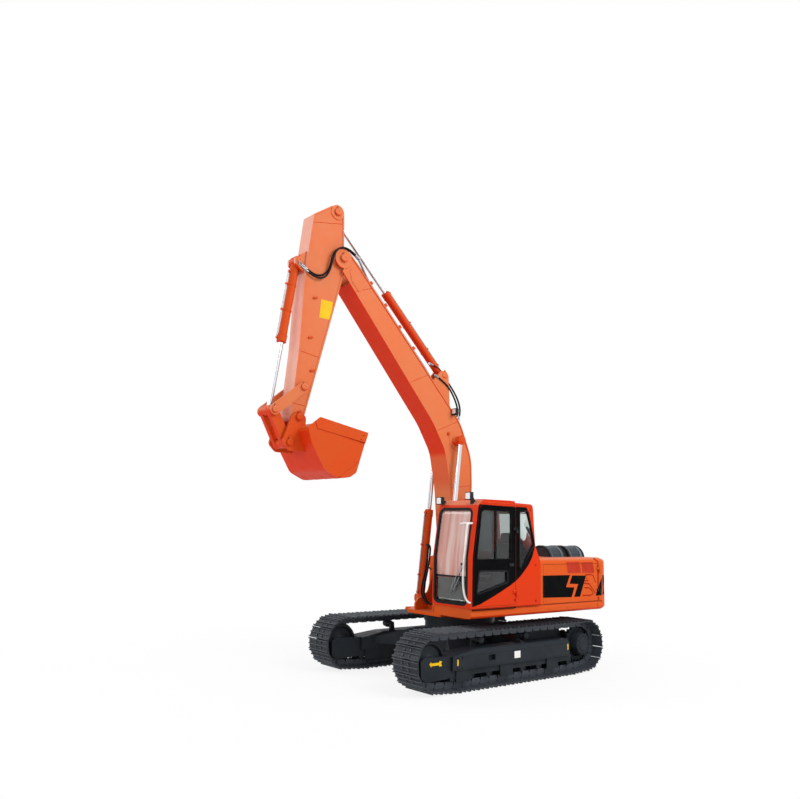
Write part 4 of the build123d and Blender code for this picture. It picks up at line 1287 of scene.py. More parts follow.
# exhaust: clamp and lip; the fuel tank's cap; lifting loops of the counterweight
pipeSpot = at(-1.300, -0.825, 2.370)
outlet = turnedPiece(
    "exhaustClamp", pipeSpot - Vector((0, 0, 0.30)), (0, 0, 1),
    [(0.0, 0.061), (0.0, 0.070), (0.03, 0.070), (0.03, 0.061)], 28,
)
seat(outlet, "house", "dark_paint", blackEnamel)
lipProfile = [(-0.03, 0.0605), (0.0, 0.0605), (0.0, 0.052), (-0.03, 0.052)]
exhaustLip = turnedPiece("exhaustLip", pipeSpot, (0, 0, 1), lipProfile, 28, True)
seat(exhaustLip, "house", "dark_paint", blackEnamel)
tankCap = turnedPiece(
    "tankCap", at(-0.680, -0.775, 2.0), (0, 0, 1),
    [(0.0, 0.056), (0.004, 0.066), (0.018, 0.066), (0.0195, 0.058), (0.0198, 0.02)], 28,
)
seat(tankCap, "house", "black_plastic", cabPlastic)

eyes = []
loopBend = [(-0.07, 1.985), (-0.07, 2.005), (-0.06, 2.016), (0.06, 2.016), (0.07, 2.005), (0.07, 1.985)]
for middle in (-0.62, 0.62):
    eyes.append(bentPipe("liftLoop", [at(-2.60, middle + y, z) for y, z in loopBend], 0.011))
seat(joinAll(eyes, "liftingLoops"), "house", "dark_paint", blackEnamel)

# handrails on the right: along the tank and up from the steps, and steps on the right deck
rails = [
    [at(-0.48, -1.22, 1.96), at(-0.48, -1.22, 2.12), at(-0.50, -1.22, 2.16), at(-0.56, -1.22, 2.18),
     at(-1.02, -1.22, 2.18), at(-1.09, -1.22, 2.16), at(-1.11, -1.22, 2.10), at(-1.11, -1.22, 1.96)],
    [at(-0.12, -1.28, 1.225), at(-0.12, -1.28, 1.60), at(-0.14, -1.28, 1.70), at(-0.22, -1.28, 1.74),
     at(-0.33, -1.28, 1.74), at(-0.39, -1.28, 1.72), at(-0.415, -1.28, 1.68)],
]
posts = [bentPipe("rail", points, 0.015, 12) for points in rails]
feet = [at(-0.48, -1.22, 1.957), at(-1.11, -1.22, 1.957), at(-0.12, -1.28, 1.222)]
for foot in feet:
    posts.append(turnedPiece("railFoot", foot, (0, 0, 1), [(0, 0.034), (0.008, 0.034), (0.012, 0.024)], 20))
seat(joinAll(posts, "rightHandrails"), "house", "dark_paint", blackEnamel)
treads = []
for x in (-0.16, -0.30):
    for y in (-1.20, -0.90, -0.62):
        pad = block(
            "tread", (x - 0.045, y - 0.11, 1.223), (x + 0.045, y + 0.11, 1.231), ease=0.003, segments=1
        )
        treads.append(pad)
seat(joinAll(treads, "deckTreads"), "house", "black_plastic", cabPlastic)
toolStep = sidePlate(
    "tankStep",
    [(-0.431, 1.55), (-0.431, 1.63), (-0.33, 1.63, 0.01), (-0.33, 1.60, 0.01), (-0.40, 1.595)],
    -1.12,
    -0.72,
    ease=0.003,
)
seat(toolStep, "house", "dark_paint", blackEnamel)

# hood latches, the counterweight's blank plate and reflectors, bolts of the deck and the top cover
latches = []
for y in (-0.45, 0.25):
    pad = block("hoodLatch", (-2.40, y - 0.05, 2.018), (-2.34, y + 0.05, 2.030), ease=0.003)
    latches.append(pad)
seat(joinAll(latches, "hoodLatches"), "hood", "black_plastic", cabPlastic)
tailX = -2.800
tailRadius = 4.130  # of the counterweight's rear face
rearPlate = block("rearBlankPlate", (tailX, -0.26, 1.42), (tailX + 0.012, 0.26, 1.62))
for vertex in rearPlate.data.vertices:
    vertex.co.x += tailRadius - math.sqrt(tailRadius**2 - vertex.co.y**2) - 0.002
easeEdges(rearPlate, 0.002, 1)
seat(rearPlate, "house", "orange_paint", blackFilm)
rearLamps = []
for y in (-1.05, 1.05):
    edge = tailX + tailRadius - math.sqrt(tailRadius**2 - y**2)
    lampBody = block("rearLamp", (edge - 0.006, y - 0.09, 1.18), (edge + 0.03, y + 0.09, 1.25), ease=0.006)
    rearLamps.append(lampBody)
seat(joinAll(rearLamps, "rearReflectors"), "house", "glass", redFilm)
boltRows = [at(x, 1.352, 1.145) for x in (-2.0, -1.4, -0.9, -0.4, 0.2, 0.7)]
seat(hexBolts("leftDeckBolts", boltRows, (0, 1, 0), 0.012, 0.004), "house", "orange_paint", orangeEnamel)
hoodBolts = [at(x, y, 2.0195) for x in (-0.70, -1.05) for y in (-0.40, -0.1, 0.15, 0.42)]
seat(hexBolts("topCoverBolts", hoodBolts, (0, 0, 1), 0.012, 0.008), "house", "orange_paint", orangeEnamel)
print("house dressed")

# cab

outer = 1.380  # the cab's skin on the side of its door
cabSide = [
    # side view of the glazed band, (x, z, corner radius)
    (1.028, 1.262), (1.030, 1.60), (1.024, 2.05, 0.5), (0.902, 2.86), (0.880, 2.915, 0.03), (
        -0.300, 2.900, 0.05
    ),
    (-0.462, 2.40, 0.2), (
        -0.505, 2.235, 0.15
    ), (-0.43, 2.045, 0.1), (-0.34, 1.92), (-0.20, 1.79), (-0.11, 1.715),
    (0.00, 1.645), (0.14, 1.575), (0.38, 1.475), (0.61, 1.385), (0.85, 1.30),
]
doorOutline = [
    (-0.002, 1.236), (0.9835, 1.236), (0.9835, 2.028, 0.3), (0.859, 2.855, 0.02), (0.797, 2.908, 0.02),
    (-0.003, 2.889),
]
doorHole = [
    (-0.012, 1.20), (0.992, 1.20), (0.992, 2.03, 0.3), (0.867, 2.862, 0.02), (0.80, 2.918, 0.02),
    (-0.012, 2.898),
]
panes = {
    "upper": [
        (0.100, 2.015, 0.04), (0.930, 2.015, 0.04), (0.820, 2.800, 0.06), (0.770, 2.830, 0.06),
        (0.100, 2.815, 0.04),
    ],
    "lower": [(0.200, 1.815, 0.03), (0.870, 1.825, 0.03), (0.925, 1.455, 0.03), (0.200, 1.635, 0.03)],
    "quarter": [(-0.110, 1.795, 0.03), (-0.490, 2.275, 0.03), (-0.320, 2.835, 0.03), (-0.110, 2.815, 0.03)],
}


def through(name, corners):
    return sidePlate(name, corners, outer - 0.03, outer + 0.03)


shellBlack = sidePlate("cabSideBlack", cabSide, outer - 0.0005, outer + 0.0012)
cutAway(shellBlack, [through("cut", doorHole), through("cut", panes["quarter"])])
seat(shellBlack, "house", "black_plastic", blackFilm)
doorBlack = sidePlate("cabDoorBlack", cabSide, outer - 0.0005, outer + 0.0012)
cutAway(doorBlack, [through("keep", doorOutline)], "INTERSECT")
cutAway(doorBlack, [through("cut", panes["upper"]), through("cut", panes["lower"])])
seat(doorBlack, "cab_door", "black_plastic", blackFilm)


def grownOutline(corners, width):
    # an outline grown all round by a width
    middle = sum((Vector(row[:2]) for row in corners), Vector((0.0, 0.0))) / len(corners)
    grown = []
    for row in corners:
        out = Vector(row[:2]) - middle
        signs = [1 if out.x > 0 else -1, 1 if out.y > 0 else -1]
        grown.append((row[0] + width * signs[0], row[1] + width * signs[1], max(row[2] + width, 0.004)))
    return grown


def paneSeal(name, corners, width, face):
    # rubber seal round a pane: a lip on the outside and a lining down to the glass
    seal = sidePlate(name, grownOutline(corners, width), face - 0.0005, face + 0.006)
    lining = sidePlate("lining", grownOutline(corners, -0.0005), face - 0.0235, face + 0.001)
    cutAway(seal, [sidePlate("hole", grownOutline(corners, -0.008), face - 0.05, face + 0.05)])
    cutAway(lining, [sidePlate("hole", grownOutline(corners, -0.008), face - 0.05, face + 0.05)])
    seal = joinAll([seal, lining], name)
    easeEdges(seal, 0.003, 2)
    return seal


doorSeals = [paneSeal("seal", panes[key], 0.018, outer) for key in ("upper", "lower")]
# the divider of the sliding panes stands in the upper pane's frame
divider = block("divider", (0.452, outer - 0.034, 2.01), (0.486, outer - 0.008, 2.83), ease=0.003)
doorSeals.append(divider)
seat(joinAll(doorSeals, "cabDoorSeals"), "cab_door", "black_plastic", rubber)
seat(paneSeal("quarterSeal", panes["quarter"], 0.016, outer), "house", "black_plastic", rubber)

# compression seal in the door's gap
gapOutline = [(*row[:2], row[2] if len(row) > 2 else 0.0) for row in doorHole]
gapSeal = sidePlate("doorGapSeal", grownOutline(gapOutline, -0.0015), outer - 0.040, outer - 0.003)
cutAway(gapSeal, [sidePlate("cut", grownOutline(gapOutline, -0.0065), outer - 0.05, outer + 0.01)])
seat(gapSeal, "house", "black_plastic", rubber)

# windscreen: gasket, split bar and a dark sheet behind its lower pane, painted shade of the cab's inside
screenRows = {"low": 1.29, "bend": 2.05, "high": 2.83, "left": 1.255, "right": 0.475, "corner": 0.09}


def screenX(z):
    # the windscreen's outer face leans back above its bend
    if z <= screenRows["bend"]:
        return 1.040 - 0.005 * (z - 1.225) / 0.825
    return 1.035 - 0.130 * (z - 2.05) / 0.85


def screenPlate(name, outline, depth, thickness):
    # a plate that follows the windscreen's bend: an outline in front view, (y, z, corner radius)
    flat = roundedCorners(outline, 6)
    piece = fillOutline(name, [Vector((5.0, p.x, p.y)) for p in flat])
    editMode()
    for z in (1.6, 1.9, 2.0, 2.05, 2.1, 2.3, 2.6):
        bpy.ops.mesh.select_all(action="SELECT")
        bpy.ops.mesh.bisect(plane_co=(0, 0, z), plane_no=(0, 0, 1))
    bpy.ops.mesh.select_all(action="SELECT")
    bpy.ops.mesh.extrude_region_move(TRANSFORM_OT_translate={"value": (-thickness, 0, 0)})
    bpy.ops.mesh.select_all(action="SELECT")
    bpy.ops.mesh.normals_make_consistent(inside=False)
    objectMode()
    for vertex in piece.data.vertices:
        vertex.co.x = swingAxis + screenX(vertex.co.z) - depth + (vertex.co.x - 5.0)
    return piece


def frontOutline(grow, low=None, high=None):
    lowZ = (screenRows["low"] if low is None else low) - grow
    highZ = (screenRows["high"] if high is None else high) + grow
    return [
        (screenRows["right"] - grow, lowZ, screenRows["corner"] + grow if low is None else 0.01),
        (screenRows["left"] + grow, lowZ, screenRows["corner"] + grow if low is None else 0.01),
        (screenRows["left"] + grow, highZ, screenRows["corner"] + grow if high is None else 0.01),
        (screenRows["right"] - grow, highZ, screenRows["corner"] + grow if high is None else 0.01),
    ]


gasket = screenPlate("windscreenGasket", frontOutline(0.028), -0.004, 0.034)
cutAway(gasket, [screenPlate("hole", frontOutline(-0.022), -0.05, 0.15)])
easeEdges(gasket, 0.004, 2)
seat(gasket, "house", "black_plastic", rubber)
splitBar = screenPlate("windscreenSplitBar", frontOutline(-0.006, 1.700, 1.740), 0.012, 0.022)
easeEdges(splitBar, 0.004)
seat(splitBar, "house", "black_plastic", rubber)
shadeSheet = screenPlate("lowerShadeSheet", frontOutline(-0.02, None, 1.71), 0.045, 0.004)
seat(shadeSheet, "house", "black_plastic", darkSheet)

# the windscreen apart from the other panes, under its transport film, its upper part with the boom's painted
# reflection
mergedCopy("cab_glass", "paneSet")
bpy.ops.mesh.separate(type="LOOSE")
objectMode()
paneObjects = list(bpy.context.selected_objects)
frontPane = max(paneObjects, key=lambda pane: max(vertex.co.x for vertex in pane.data.vertices))
frontPane.name = "windscreen"
lowerPane = frontPane.copy()
lowerPane.data = frontPane.data.copy()
lowerPane.name = "lowerWindscreen"
bpy.context.scene.collection.objects.link(lowerPane)
for pane, below in ((frontPane, True), (lowerPane, False)):
    makeActive(pane)
    editMode()
    bpy.ops.mesh.bisect(
        plane_co=(0, 0, 1.72), plane_no=(0, 0, 1), use_fill=True, clear_inner=below, clear_outer=not below
    )
    objectMode()
boomSidePane = min(paneObjects, key=lambda pane: max(vertex.co.y for vertex in pane.data.vertices))
boomSidePane.name = "boomSidePane"
sidePanes = joinAll([pane for pane in paneObjects if pane not in (frontPane, boomSidePane)], "cabPanes")
for pane in (frontPane, lowerPane, boomSidePane, sidePanes):
    smoothOver(pane)
seat(frontPane, "house", "glass", filmedReflectingScreen, ("cab_glass",))
seat(lowerPane, "house", "glass", glass, ("cab_glass",))
seat(boomSidePane, "house", "glass", darkSheet, ("cab_glass",))
seat(sidePanes, "house", "glass", glass, ("cab_glass",))

# wipers: two arms on the pane and a blade each
wiperParts = []
for points in (
    [(1.14, 1.93), (1.06, 1.79), (0.89, 1.51)],
    [(1.09, 1.72), (0.95, 1.50)],
):
    places = [Vector((swingAxis + screenX(z) + 0.010, y, z)) for y, z in points]
    wiperParts.append(bentPipe("wiperArm", places, 0.006))
seat(joinAll(wiperParts, "wipers"), "house", "chrome", zinc)
blades = [
    bentPipe("blade", [Vector((swingAxis + screenX(z) + 0.004, y, z)) for y, z in points], 0.006)
    for points in ([(1.10, 1.78), (0.90, 1.44)], [(1.20, 1.98), (1.12, 1.80)])
]
pivot = turnedPiece(
    "wiperPivot", at(screenX(1.93) - 0.006, 1.14, 1.93), (1, 0, 0), [
        (0, 0.022), (0.014, 0.022), (0.022, 0.012)
    ], 20
)
seat(joinAll(blades + [pivot], "wiperBlades"), "house", "black_plastic", rubber)

# grab rail beside the windscreen, drawn white, with its top bar and feet
railPlaces = [
    (1.288, 2.60), (1.276, 2.56), (1.262, 2.47), (1.250, 2.36), (1.234, 2.20), (1.205, 1.99), (1.190, 1.78),
    (1.195, 1.57), (1.235, 1.42), (1.30, 1.345), (1.350, 1.33),
]
railPoints = [at(1.056, y, z) for y, z in railPlaces]
railPoints.insert(0, at(screenX(2.60) + 0.004, 1.300, 2.60))
railPoints.append(at(screenX(1.33) + 0.004, 1.355, 1.33))
grabRailTube = bentPipe("grabRail", railPoints, 0.017, 12)
topBar = bentPipe(
    "topBar",
    [
        at(
            screenX(2.59) + 0.006, 1.10, 2.59
        ), at(1.03, 1.10, 2.59), at(1.056, 1.12, 2.59), at(1.056, 1.20, 2.60),
        at(1.056, 1.288, 2.60),
    ],
    0.013, 12,
)
seat(joinAll([grabRailTube, topBar], "whiteGrabRail"), "house", "black_plastic", plainWhite)


def lampLens(name, face, low, high, radius):
    # a lens between two corners of the front view, (y, z)
    rows = [(low[0], low[1]), (high[0], low[1]), (high[0], high[1]), (low[0], high[1])]
    flat = roundedCorners([(y, z, radius) for y, z in rows])
    made = pulledPlate(name, [at(face - 0.002, p.x, p.y) for p in flat], (0.008, 0, 0))
    easeEdges(made, 0.003)
    return made


# cab lamps: a white lens on the front and cooling fins behind
lensParts, rimParts = [], []
for y, z in ((0.497, 2.975), (1.215, 3.050)):
    lensParts.append(lampLens("lens", 0.985, (y - 0.052, z - 0.052), (y + 0.052, z + 0.052), 0.014))
    for step in range(4):
        low, high = z - 0.042 + step * 0.026, z - 0.036 + step * 0.026
        rimParts.append(block("fin", (0.905, y - 0.045, low), (0.918, y + 0.045, high)))
seat(joinAll(lensParts, "cabLampLenses"), "house", "glass", lens)
seat(joinAll(rimParts, "cabLampFins"), "house", "black_plastic", cabPlastic)

# door handle, bolt caps, seam at the cab's foot, rain gutter and roof hatch
handle = sidePlate(
    "doorHandle",
    [(0.05, 1.895, 0.015), (0.05, 1.945, 0.015), (0.17, 1.945, 0.015), (0.17, 1.895, 0.015)],
    outer,
    outer + 0.018,
    ease=0.005,
)
grip = block("grip", (0.075, outer + 0.012, 1.905), (0.155, outer + 0.028, 1.925), ease=0.005)
seat(joinAll([handle, grip], "cabDoorHandle"), "cab_door", "black_plastic", cabPlastic)
capParts = []
for x, z in ((-0.52, 1.91), (-0.52, 1.30), (-0.395, 2.86), (0.02, 1.335)):
    capParts.append(
        turnedPiece(
            "boltCap",
            at(x, outer - 0.0015, z),
            (0, 1, 0),
            [(0, 0.022), (0.003, 0.022), (0.008, 0.014), (0.009, 0.0)],
            20,
        )
    )
seat(joinAll(capParts, "cabBoltCaps"), "house", "orange_paint", sealerAndShadeRed)
# the seam at the cab's foot: a dark red strip of painted shade in the joint
lowSeam = sidePlate(
    "cabFootSeam",
    [(-0.648, 1.2265), (1.036, 1.2265), (1.036, 1.238), (-0.648, 1.238)],
    outer - 0.001,
    outer + 0.0015,
)
seat(lowSeam, "house", "orange_paint", sealerAndShadeRed)
gutterRows = [(0.79, 2.947), (-0.43, 2.923), (-0.43, 2.933), (0.79, 2.957)]
gutter = sidePlate("cabRainGutter", gutterRows, outer - 0.001, outer + 0.010, ease=0.003, segments=1)
seat(gutter, "house", "orange_paint", cabEnamel)

hatchSeal = block("hatchSeal", (-0.158, 0.5645, 2.955), (0.628, 1.2405, 2.968), ease=0.004, segments=1)
seat(hatchSeal, "house", "black_plastic", rubber)
hatchTop = block("hatchPanel", (-0.11, 0.61, 3.003), (0.58, 1.195, 3.012), ease=0.006)
seat(hatchTop, "house", "orange_paint", cabEnamel)

# inside the cab: padded seat, joysticks, levers, display and lining
cabFloor = 1.280
seatMiddle = 0.9025


def cushion(name, low, high, crown, lean=0.0):
    # a crowned pad: a subdivided block, swelled in the middle and drawn in at its seams
    pad = block(name, low, high)
    editMode()
    bpy.ops.mesh.subdivide(number_cuts=6)
    objectMode()
    middle = at(*((Vector(low) + Vector(high)) / 2))
    half = (Vector(high) - Vector(low)) / 2
    for vertex in pad.data.vertices:
        local = vertex.co - middle
        shares = [max(0.0, 1.0 - (abs(local[axis]) / half[axis]) ** 2) for axis in range(3)]
        for axis in range(3):
            others = [shares[other] for other in range(3) if other != axis]
            swell = crown * math.sqrt(others[0] * others[1])
            if abs(local[axis]) > half[axis] * 0.999:
                drawnIn = math.copysign(crown * 0.55, local[axis])
                vertex.co[axis] += math.copysign(swell, local[axis]) - drawnIn
        vertex.co.x -= lean * (vertex.co.z - (middle.z - half.z))
    applyModifier(pad, "SUBSURF", levels=2, render_levels=2)
    smoothOver(pad, 60.0)
    return pad


pads = {
    "seatCushionPad": (
        (-0.225, seatMiddle - 0.245, cabFloor + 0.305),
        (0.295, seatMiddle + 0.245, cabFloor + 0.428),
        0.022,
        0.0,
    ),
    "seatBackPad": (
        (-0.245, seatMiddle - 0.235, cabFloor + 0.40),
        (-0.140, seatMiddle + 0.235, cabFloor + 0.975),
        0.022,
        0.125,
    ),
    "seatHeadPad": (
        (-0.315, seatMiddle - 0.128, cabFloor + 0.985),
        (-0.245, seatMiddle + 0.128, cabFloor + 1.165),
        0.014,
        0.10,
    ),
}
for index, (name, (low, high, crown, lean)) in enumerate(pads.items()):
    pad = seat(
        cushion(name, low, high, crown, lean),
        "house",
        "seat_fabric",
        seatCloth,
        ("seat",) if index == 0 else (),
    )
base = block(
    "seatBase",
    (-0.178, seatMiddle - 0.168, cabFloor + 0.001),
    (0.218, seatMiddle + 0.168, cabFloor + 0.300),
    ease=0.02,
    segments=3,
)
seat(base, "house", "black_plastic", cabPlastic, ("seat",))
sticks = []
for lean in (1, -1):
    y = seatMiddle + lean * 0.335
    boot = turnedPiece(
        "boot",
        at(0.335, y, cabFloor + 0.575),
        (0, 0, 1),
        [(0, 0.045), (0.02, 0.043), (0.04, 0.028), (0.06, 0.024), (0.08, 0.014), (0.10, 0.011)],
        20,
    )
    stick = bentPipe(
        "stick",
        [at(0.335, y, cabFloor + 0.64), at(0.34, y, cabFloor + 0.70), at(0.345, y, cabFloor + 0.73)],
        0.010,
        12,
    )
    knob = turnedPiece(
        "knob",
        at(0.345, y, cabFloor + 0.72),
        (0.12, 0, 1),
        [(0, 0.018), (0.02, 0.024), (0.06, 0.022), (0.10, 0.028), (0.125, 0.024), (0.135, 0.010)],
        20,
    )
    sticks += [boot, stick, knob]
for lean in (1, -1):
    y = seatMiddle + lean * 0.09
    sticks.append(
        bentPipe(
            "travelLever",
            [
                at(0.62, y, cabFloor + 0.02),
                at(0.63, y, cabFloor + 0.30),
                at(0.60, y, cabFloor + 0.46),
                at(0.56, y + lean * 0.02, cabFloor + 0.62),
            ],
            0.011,
            12,
        )
    )
    sticks.append(
        turnedPiece(
            "leverKnob",
            at(0.562, y + lean * 0.02, cabFloor + 0.60),
            (-0.1, 0, 1),
            [(0, 0.014), (0.02, 0.020), (0.08, 0.020), (0.10, 0.012)],
            16,
        )
    )
    pedal = block("pedal", (0.64, y - 0.045, cabFloor + 0.04), (0.80, y + 0.045, cabFloor + 0.06), ease=0.004)
    sticks.append(pedal)
seat(joinAll(sticks, "operatorControls"), "house", "black_plastic", cabPlastic)
screenBody = block(
    "display", (0.66, 0.50, cabFloor + 0.62), (0.72, 0.70, cabFloor + 0.78), ease=0.01, segments=3
)
displayArm = bentPipe(
    "displayArm",
    [at(0.70, 0.60, cabFloor + 0.02), at(0.70, 0.60, cabFloor + 0.40), at(0.69, 0.60, cabFloor + 0.66)],
    0.016,
    12,
)
seat(joinAll([screenBody, displayArm], "displayPanel"), "house", "black_plastic", cabPlastic)
rearShelf = sidePlate(
    "rearShelf",
    [
        (-0.592, cabFloor + 0.002), (-0.28, cabFloor + 0.002), (-0.30, cabFloor + 0.60, 0.03),
        (-0.588, cabFloor + 0.62),
    ],
    0.485,
    1.32,
    ease=0.015,
    segments=3,
)
seat(rearShelf, "house", "black_plastic", consolePlastic)
mat = block("floorMat", (-0.22, 0.50, cabFloor + 0.0005), (0.96, 1.31, cabFloor + 0.010), ease=0.004)
seat(mat, "house", "black_plastic", rubber)
lining = block("roofLining", (-0.36, 0.50, 2.885), (0.76, 1.31, 2.898), ease=0.004)
seat(lining, "house", "black_plastic", consolePlastic)
print("cab dressed")

# boom, arm and bucket

pins = {
    "boomFoot": (0.200, 1.850),
    "cylinderFoot": (0.655, 1.150),
    "cylinderHead": (0.336, 4.100),
    "armPivot": (2.980, 6.970),
    "armCylinderFoot": (0.545, 5.320),
    "armCylinderHead": (3.100, 7.780),
    "bucketPin": (3.720, 4.180),
    "bucketCylinderFoot": (3.780, 6.770),
    "armLinkPin": (3.640, 4.670),
    "rodPin": (4.140, 4.255),
    "bucketLinkPin": (3.870, 3.765),
}


def pinCap(name, pin, face, side, radius, keeper=True):
    # a pin's end plate with its keeper bolt
    x, z = pins[pin]
    parts = [
        turnedPiece(
            name,
            at(x, side * (face - 0.001), z),
            (0, side, 0),
            [
                (0.0, radius), (0.010, radius), (0.014, radius - 0.006), (0.014, radius * 0.35),
                (0.009, radius * 0.30),
            ],
            28,
        )
    ]
    if keeper:
        tab = sidePlate(
            "keeper",
            [
                (x - 0.022, z + radius - 0.01), (x + 0.022, z + radius - 0.01),
                (x + 0.022, z + radius + 0.045, 0.015), (x - 0.022, z + radius + 0.045, 0.015),
            ],
            side * (face - 0.001),
            side * (face + 0.007),
            ease=0.002,
            segments=1,
        )
        parts.append(tab)
        parts.append(
            hexBolts("bolt", [at(x, side * (face + 0.006), z + radius + 0.025)], (0, side, 0), 0.013, 0.009)
        )
    return parts


capRows = [
    # name, body, material, [(pin, face, radius)]
    (
        "boomPinCaps",
        "boom",
        boomEnamel,
        [("armPivot", 0.250, 0.070), ("boomFoot", 0.262, 0.075), ("armCylinderFoot", 0.118, 0.055)],
    ),
    (
        "armPinCaps",
        "arm",
        boomEnamel,
        [
            ("armLinkPin", 0.230, 0.058), ("armCylinderHead", 0.185, 0.065),
            ("bucketCylinderFoot", 0.118, 0.055),
        ],
    ),
    ("bucketPinCaps", "bucket", bucketEnamel, [("bucketPin", 0.255, 0.058), ("bucketLinkPin", 0.250, 0.055)]),
    ("linkPinCaps", "arm_links", boomEnamel, [("rodPin", 0.225, 0.055)]),
    ("boomCylinderCaps", "boom_rods", bucketEnamel, [("cylinderHead", 0.392, 0.055)]),
    ("cylinderFootCaps", "house", orangeEnamel, [("cylinderFoot", 0.392, 0.055)]),
]
for name, body, material, rows in capRows:
    parts = []
    for pin, face, radius in rows:
        for side in (1, -1):
            parts += pinCap("cap", pin, face, side, radius)
    seat(joinAll(parts, name), body, "orange_paint", material)
print("pin caps set")


def alongBeam(points, spacing, offset):
    # places at an even spacing along a side-view polyline, shifted square to it
    places = []
    for first, second in zip(points, points[1:]):
        start, end = Vector(first), Vector(second)
        way = (end - start).normalized()
        out = Vector((-way.y, way.x))
        count = max(1, int((end - start).length / spacing))
        for index in range(count):
            places.append((start.lerp(end, (index + 0.5) / count) + out * offset, way))
    return places


# four steel pipes along the boom's back, in clamps, and the hoses at its bend
boomBack = [(1.22, 5.505), (2.54, 6.835)]
pipeParts, clampParts = [], []
for y in (0.125, 0.165, -0.125, -0.165):
    points = [
        at(0.93, y, 5.20),
        at(1.02, y, 5.33),
        at(1.24, y, 5.545),
        at(1.60, y, 5.905),
        at(2.20, y, 6.515),
        at(2.56, y, 6.875),
        at(2.70, y, 6.995),
    ]
    pipeParts.append(bentPipe("boomPipe", points, 0.013, 8))
for place, way in alongBeam(boomBack, 0.42, 0.012):
    for y in (0.145, -0.145):
        clamp = block("clamp", (-0.030, y - 0.048, -0.016), (0.030, y + 0.048, 0.040))
        turned = Matrix.Translation(at(place.x, 0, place.y)) @ Matrix.Rotation(
            -math.atan2(way.y, way.x), 4, "Y"
        )
        clamp.data.transform(turned @ Matrix.Translation((-swingAxis, 0, 0)))
        easeEdges(clamp, 0.004)
        clampParts.append(clamp)
seat(joinAll(pipeParts, "boomPipes"), "boom", "chrome", zinc)
seat(joinAll(clampParts, "boomPipeClamps"), "boom", "orange_paint", bucketEnamel)

bendHoses = [
    # hose by hose, (x, y, z): from the pipes down over the boom's bend to the ports by the work light
    [
        (0.86, 0.06, 5.50), (0.64, 0.06, 5.46), (0.45, 0.07, 5.24), (0.27, 0.08, 5.05), (0.16, 0.10, 4.86),
        (0.13, 0.12, 4.66), (0.20, 0.14, 4.52),
    ],
    [
        (0.78, 0.13, 5.28), (0.52, 0.13, 5.17), (0.36, 0.13, 5.00), (0.25, 0.14, 4.80), (0.22, 0.15, 4.62),
        (0.28, 0.15, 4.50),
    ],
    [
        (0.78, -0.13, 5.28), (0.52, -0.13, 5.17), (0.36, -0.13, 5.00), (0.25, -0.14, 4.80),
        (0.20, -0.15, 4.60), (0.24, -0.15, 4.50),
    ],
]
hoses = [bentPipe("bendHose", [at(*point) for point in points], 0.017, 12) for points in bendHoses]
seat(joinAll(hoses, "boomBendHoses"), "boom", "black_plastic", rubber)
fittings = []
for points in bendHoses:
    for end, beyond in ((points[0], points[1]), (points[-1], points[-2])):
        axis = Vector(beyond) - Vector(end)
        fittings.append(
            turnedPiece(
                "fitting",
                at(*end) - axis.normalized() * 0.03,
                axis,
                [(0, 0.014), (0.02, 0.014), (0.02, 0.022), (0.045, 0.022), (0.05, 0.019), (0.10, 0.019)],
                12,
            )
        )
seat(joinAll(fittings, "boomHoseFittings"), "boom", "chrome", zinc)

# hoses from the house up to the boom's foot
footBend = [
    (-0.66, 1.62), (-0.50, 1.64), (-0.33, 1.78), (-0.22, 2.05), (-0.16, 2.35), (-0.09, 2.60), (-0.055, 2.90),
]
footHoses = []
for y in (-0.10, -0.04, 0.02, 0.08, 0.14):
    footHoses.append(bentPipe("footHose", [at(x, y, z) for x, z in footBend], 0.018, 8))
hoseBundle = joinAll(footHoses, "boomFootHoses")
coat(hoseBundle, rubber)
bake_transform(hoseBundle)

# S-shaped hoses over the joint of boom and arm, fixed to the boom's pipes and the arm's ports
jointHoses, jointFittings = [], {"boom": [], "arm": []}
for y, lower in ((0.235, 0.0), (0.200, 0.055)):
    route = [
        (2.70, y, 7.055), (2.83, y, 7.135), (3.00, y + 0.005, 7.165), (3.13, y + 0.005, 7.10),
        (3.205, y, 6.95), (3.235, y - 0.01, 6.75), (
            3.31, y - 0.02, 6.575 + lower
        ), (3.44, y - 0.03, 6.510 + lower),
        (3.58, y - 0.045, 6.545 + lower), (3.70, y - 0.055, 6.615 + lower),
    ]
    jointHoses.append(bentPipe("jointHose", [at(*point) for point in route], 0.016, 12))
    for body, end, beyond in (("boom", route[0], route[1]), ("arm", route[-1], route[-2])):
        axis = (Vector(beyond) - Vector(end)).normalized()
        jointFittings[body].append(
            turnedPiece(
                "fitting", at(*end) - axis * 0.05, axis,
                [(0, 0.013), (0.02, 0.013), (0.02, 0.022), (0.05, 0.022), (0.055, 0.019), (0.11, 0.019)], 12,
            )
        )
hoseLoop = joinAll(jointHoses, "armJointHoses")
coat(hoseLoop, rubber)
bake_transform(hoseLoop)
leads = {
    # short pipes that carry the fittings over the boom's tip, and on to the arm cylinder's ports
    "boom": (
        [(2.36, 0.17, 6.66), (2.50, 0.20, 6.80), (2.58, 0.215, 6.93), (2.68, 0.225, 7.04)],
        [(2.40, 0.15, 6.70), (2.52, 0.18, 6.83), (2.60, 0.19, 6.95), (2.68, 0.20, 7.04)],
    ),
    "arm": (
        [(3.73, 0.178, 6.635), (3.80, 0.165, 6.68), (3.80, 0.12, 6.74), (3.76, 0.095, 6.78)],
        [(3.73, 0.145, 6.69), (3.78, 0.13, 6.74), (3.78, 0.10, 6.80), (3.74, 0.09, 6.84)],
    ),
}
for body, parts in jointFittings.items():
    parts += [bentPipe("lead", [at(*point) for point in points], 0.012) for points in leads[body]]
    seat(joinAll(parts, body + "JointFittings"), body, "chrome", zinc)
print("hoses laid")

# work light on the boom
workLens = lampLens("boomLampLens", 0.420 + 0.035, (0.243, 4.592), (0.327, 4.674), 0.012)
seat(workLens, "boom", "glass", lens)

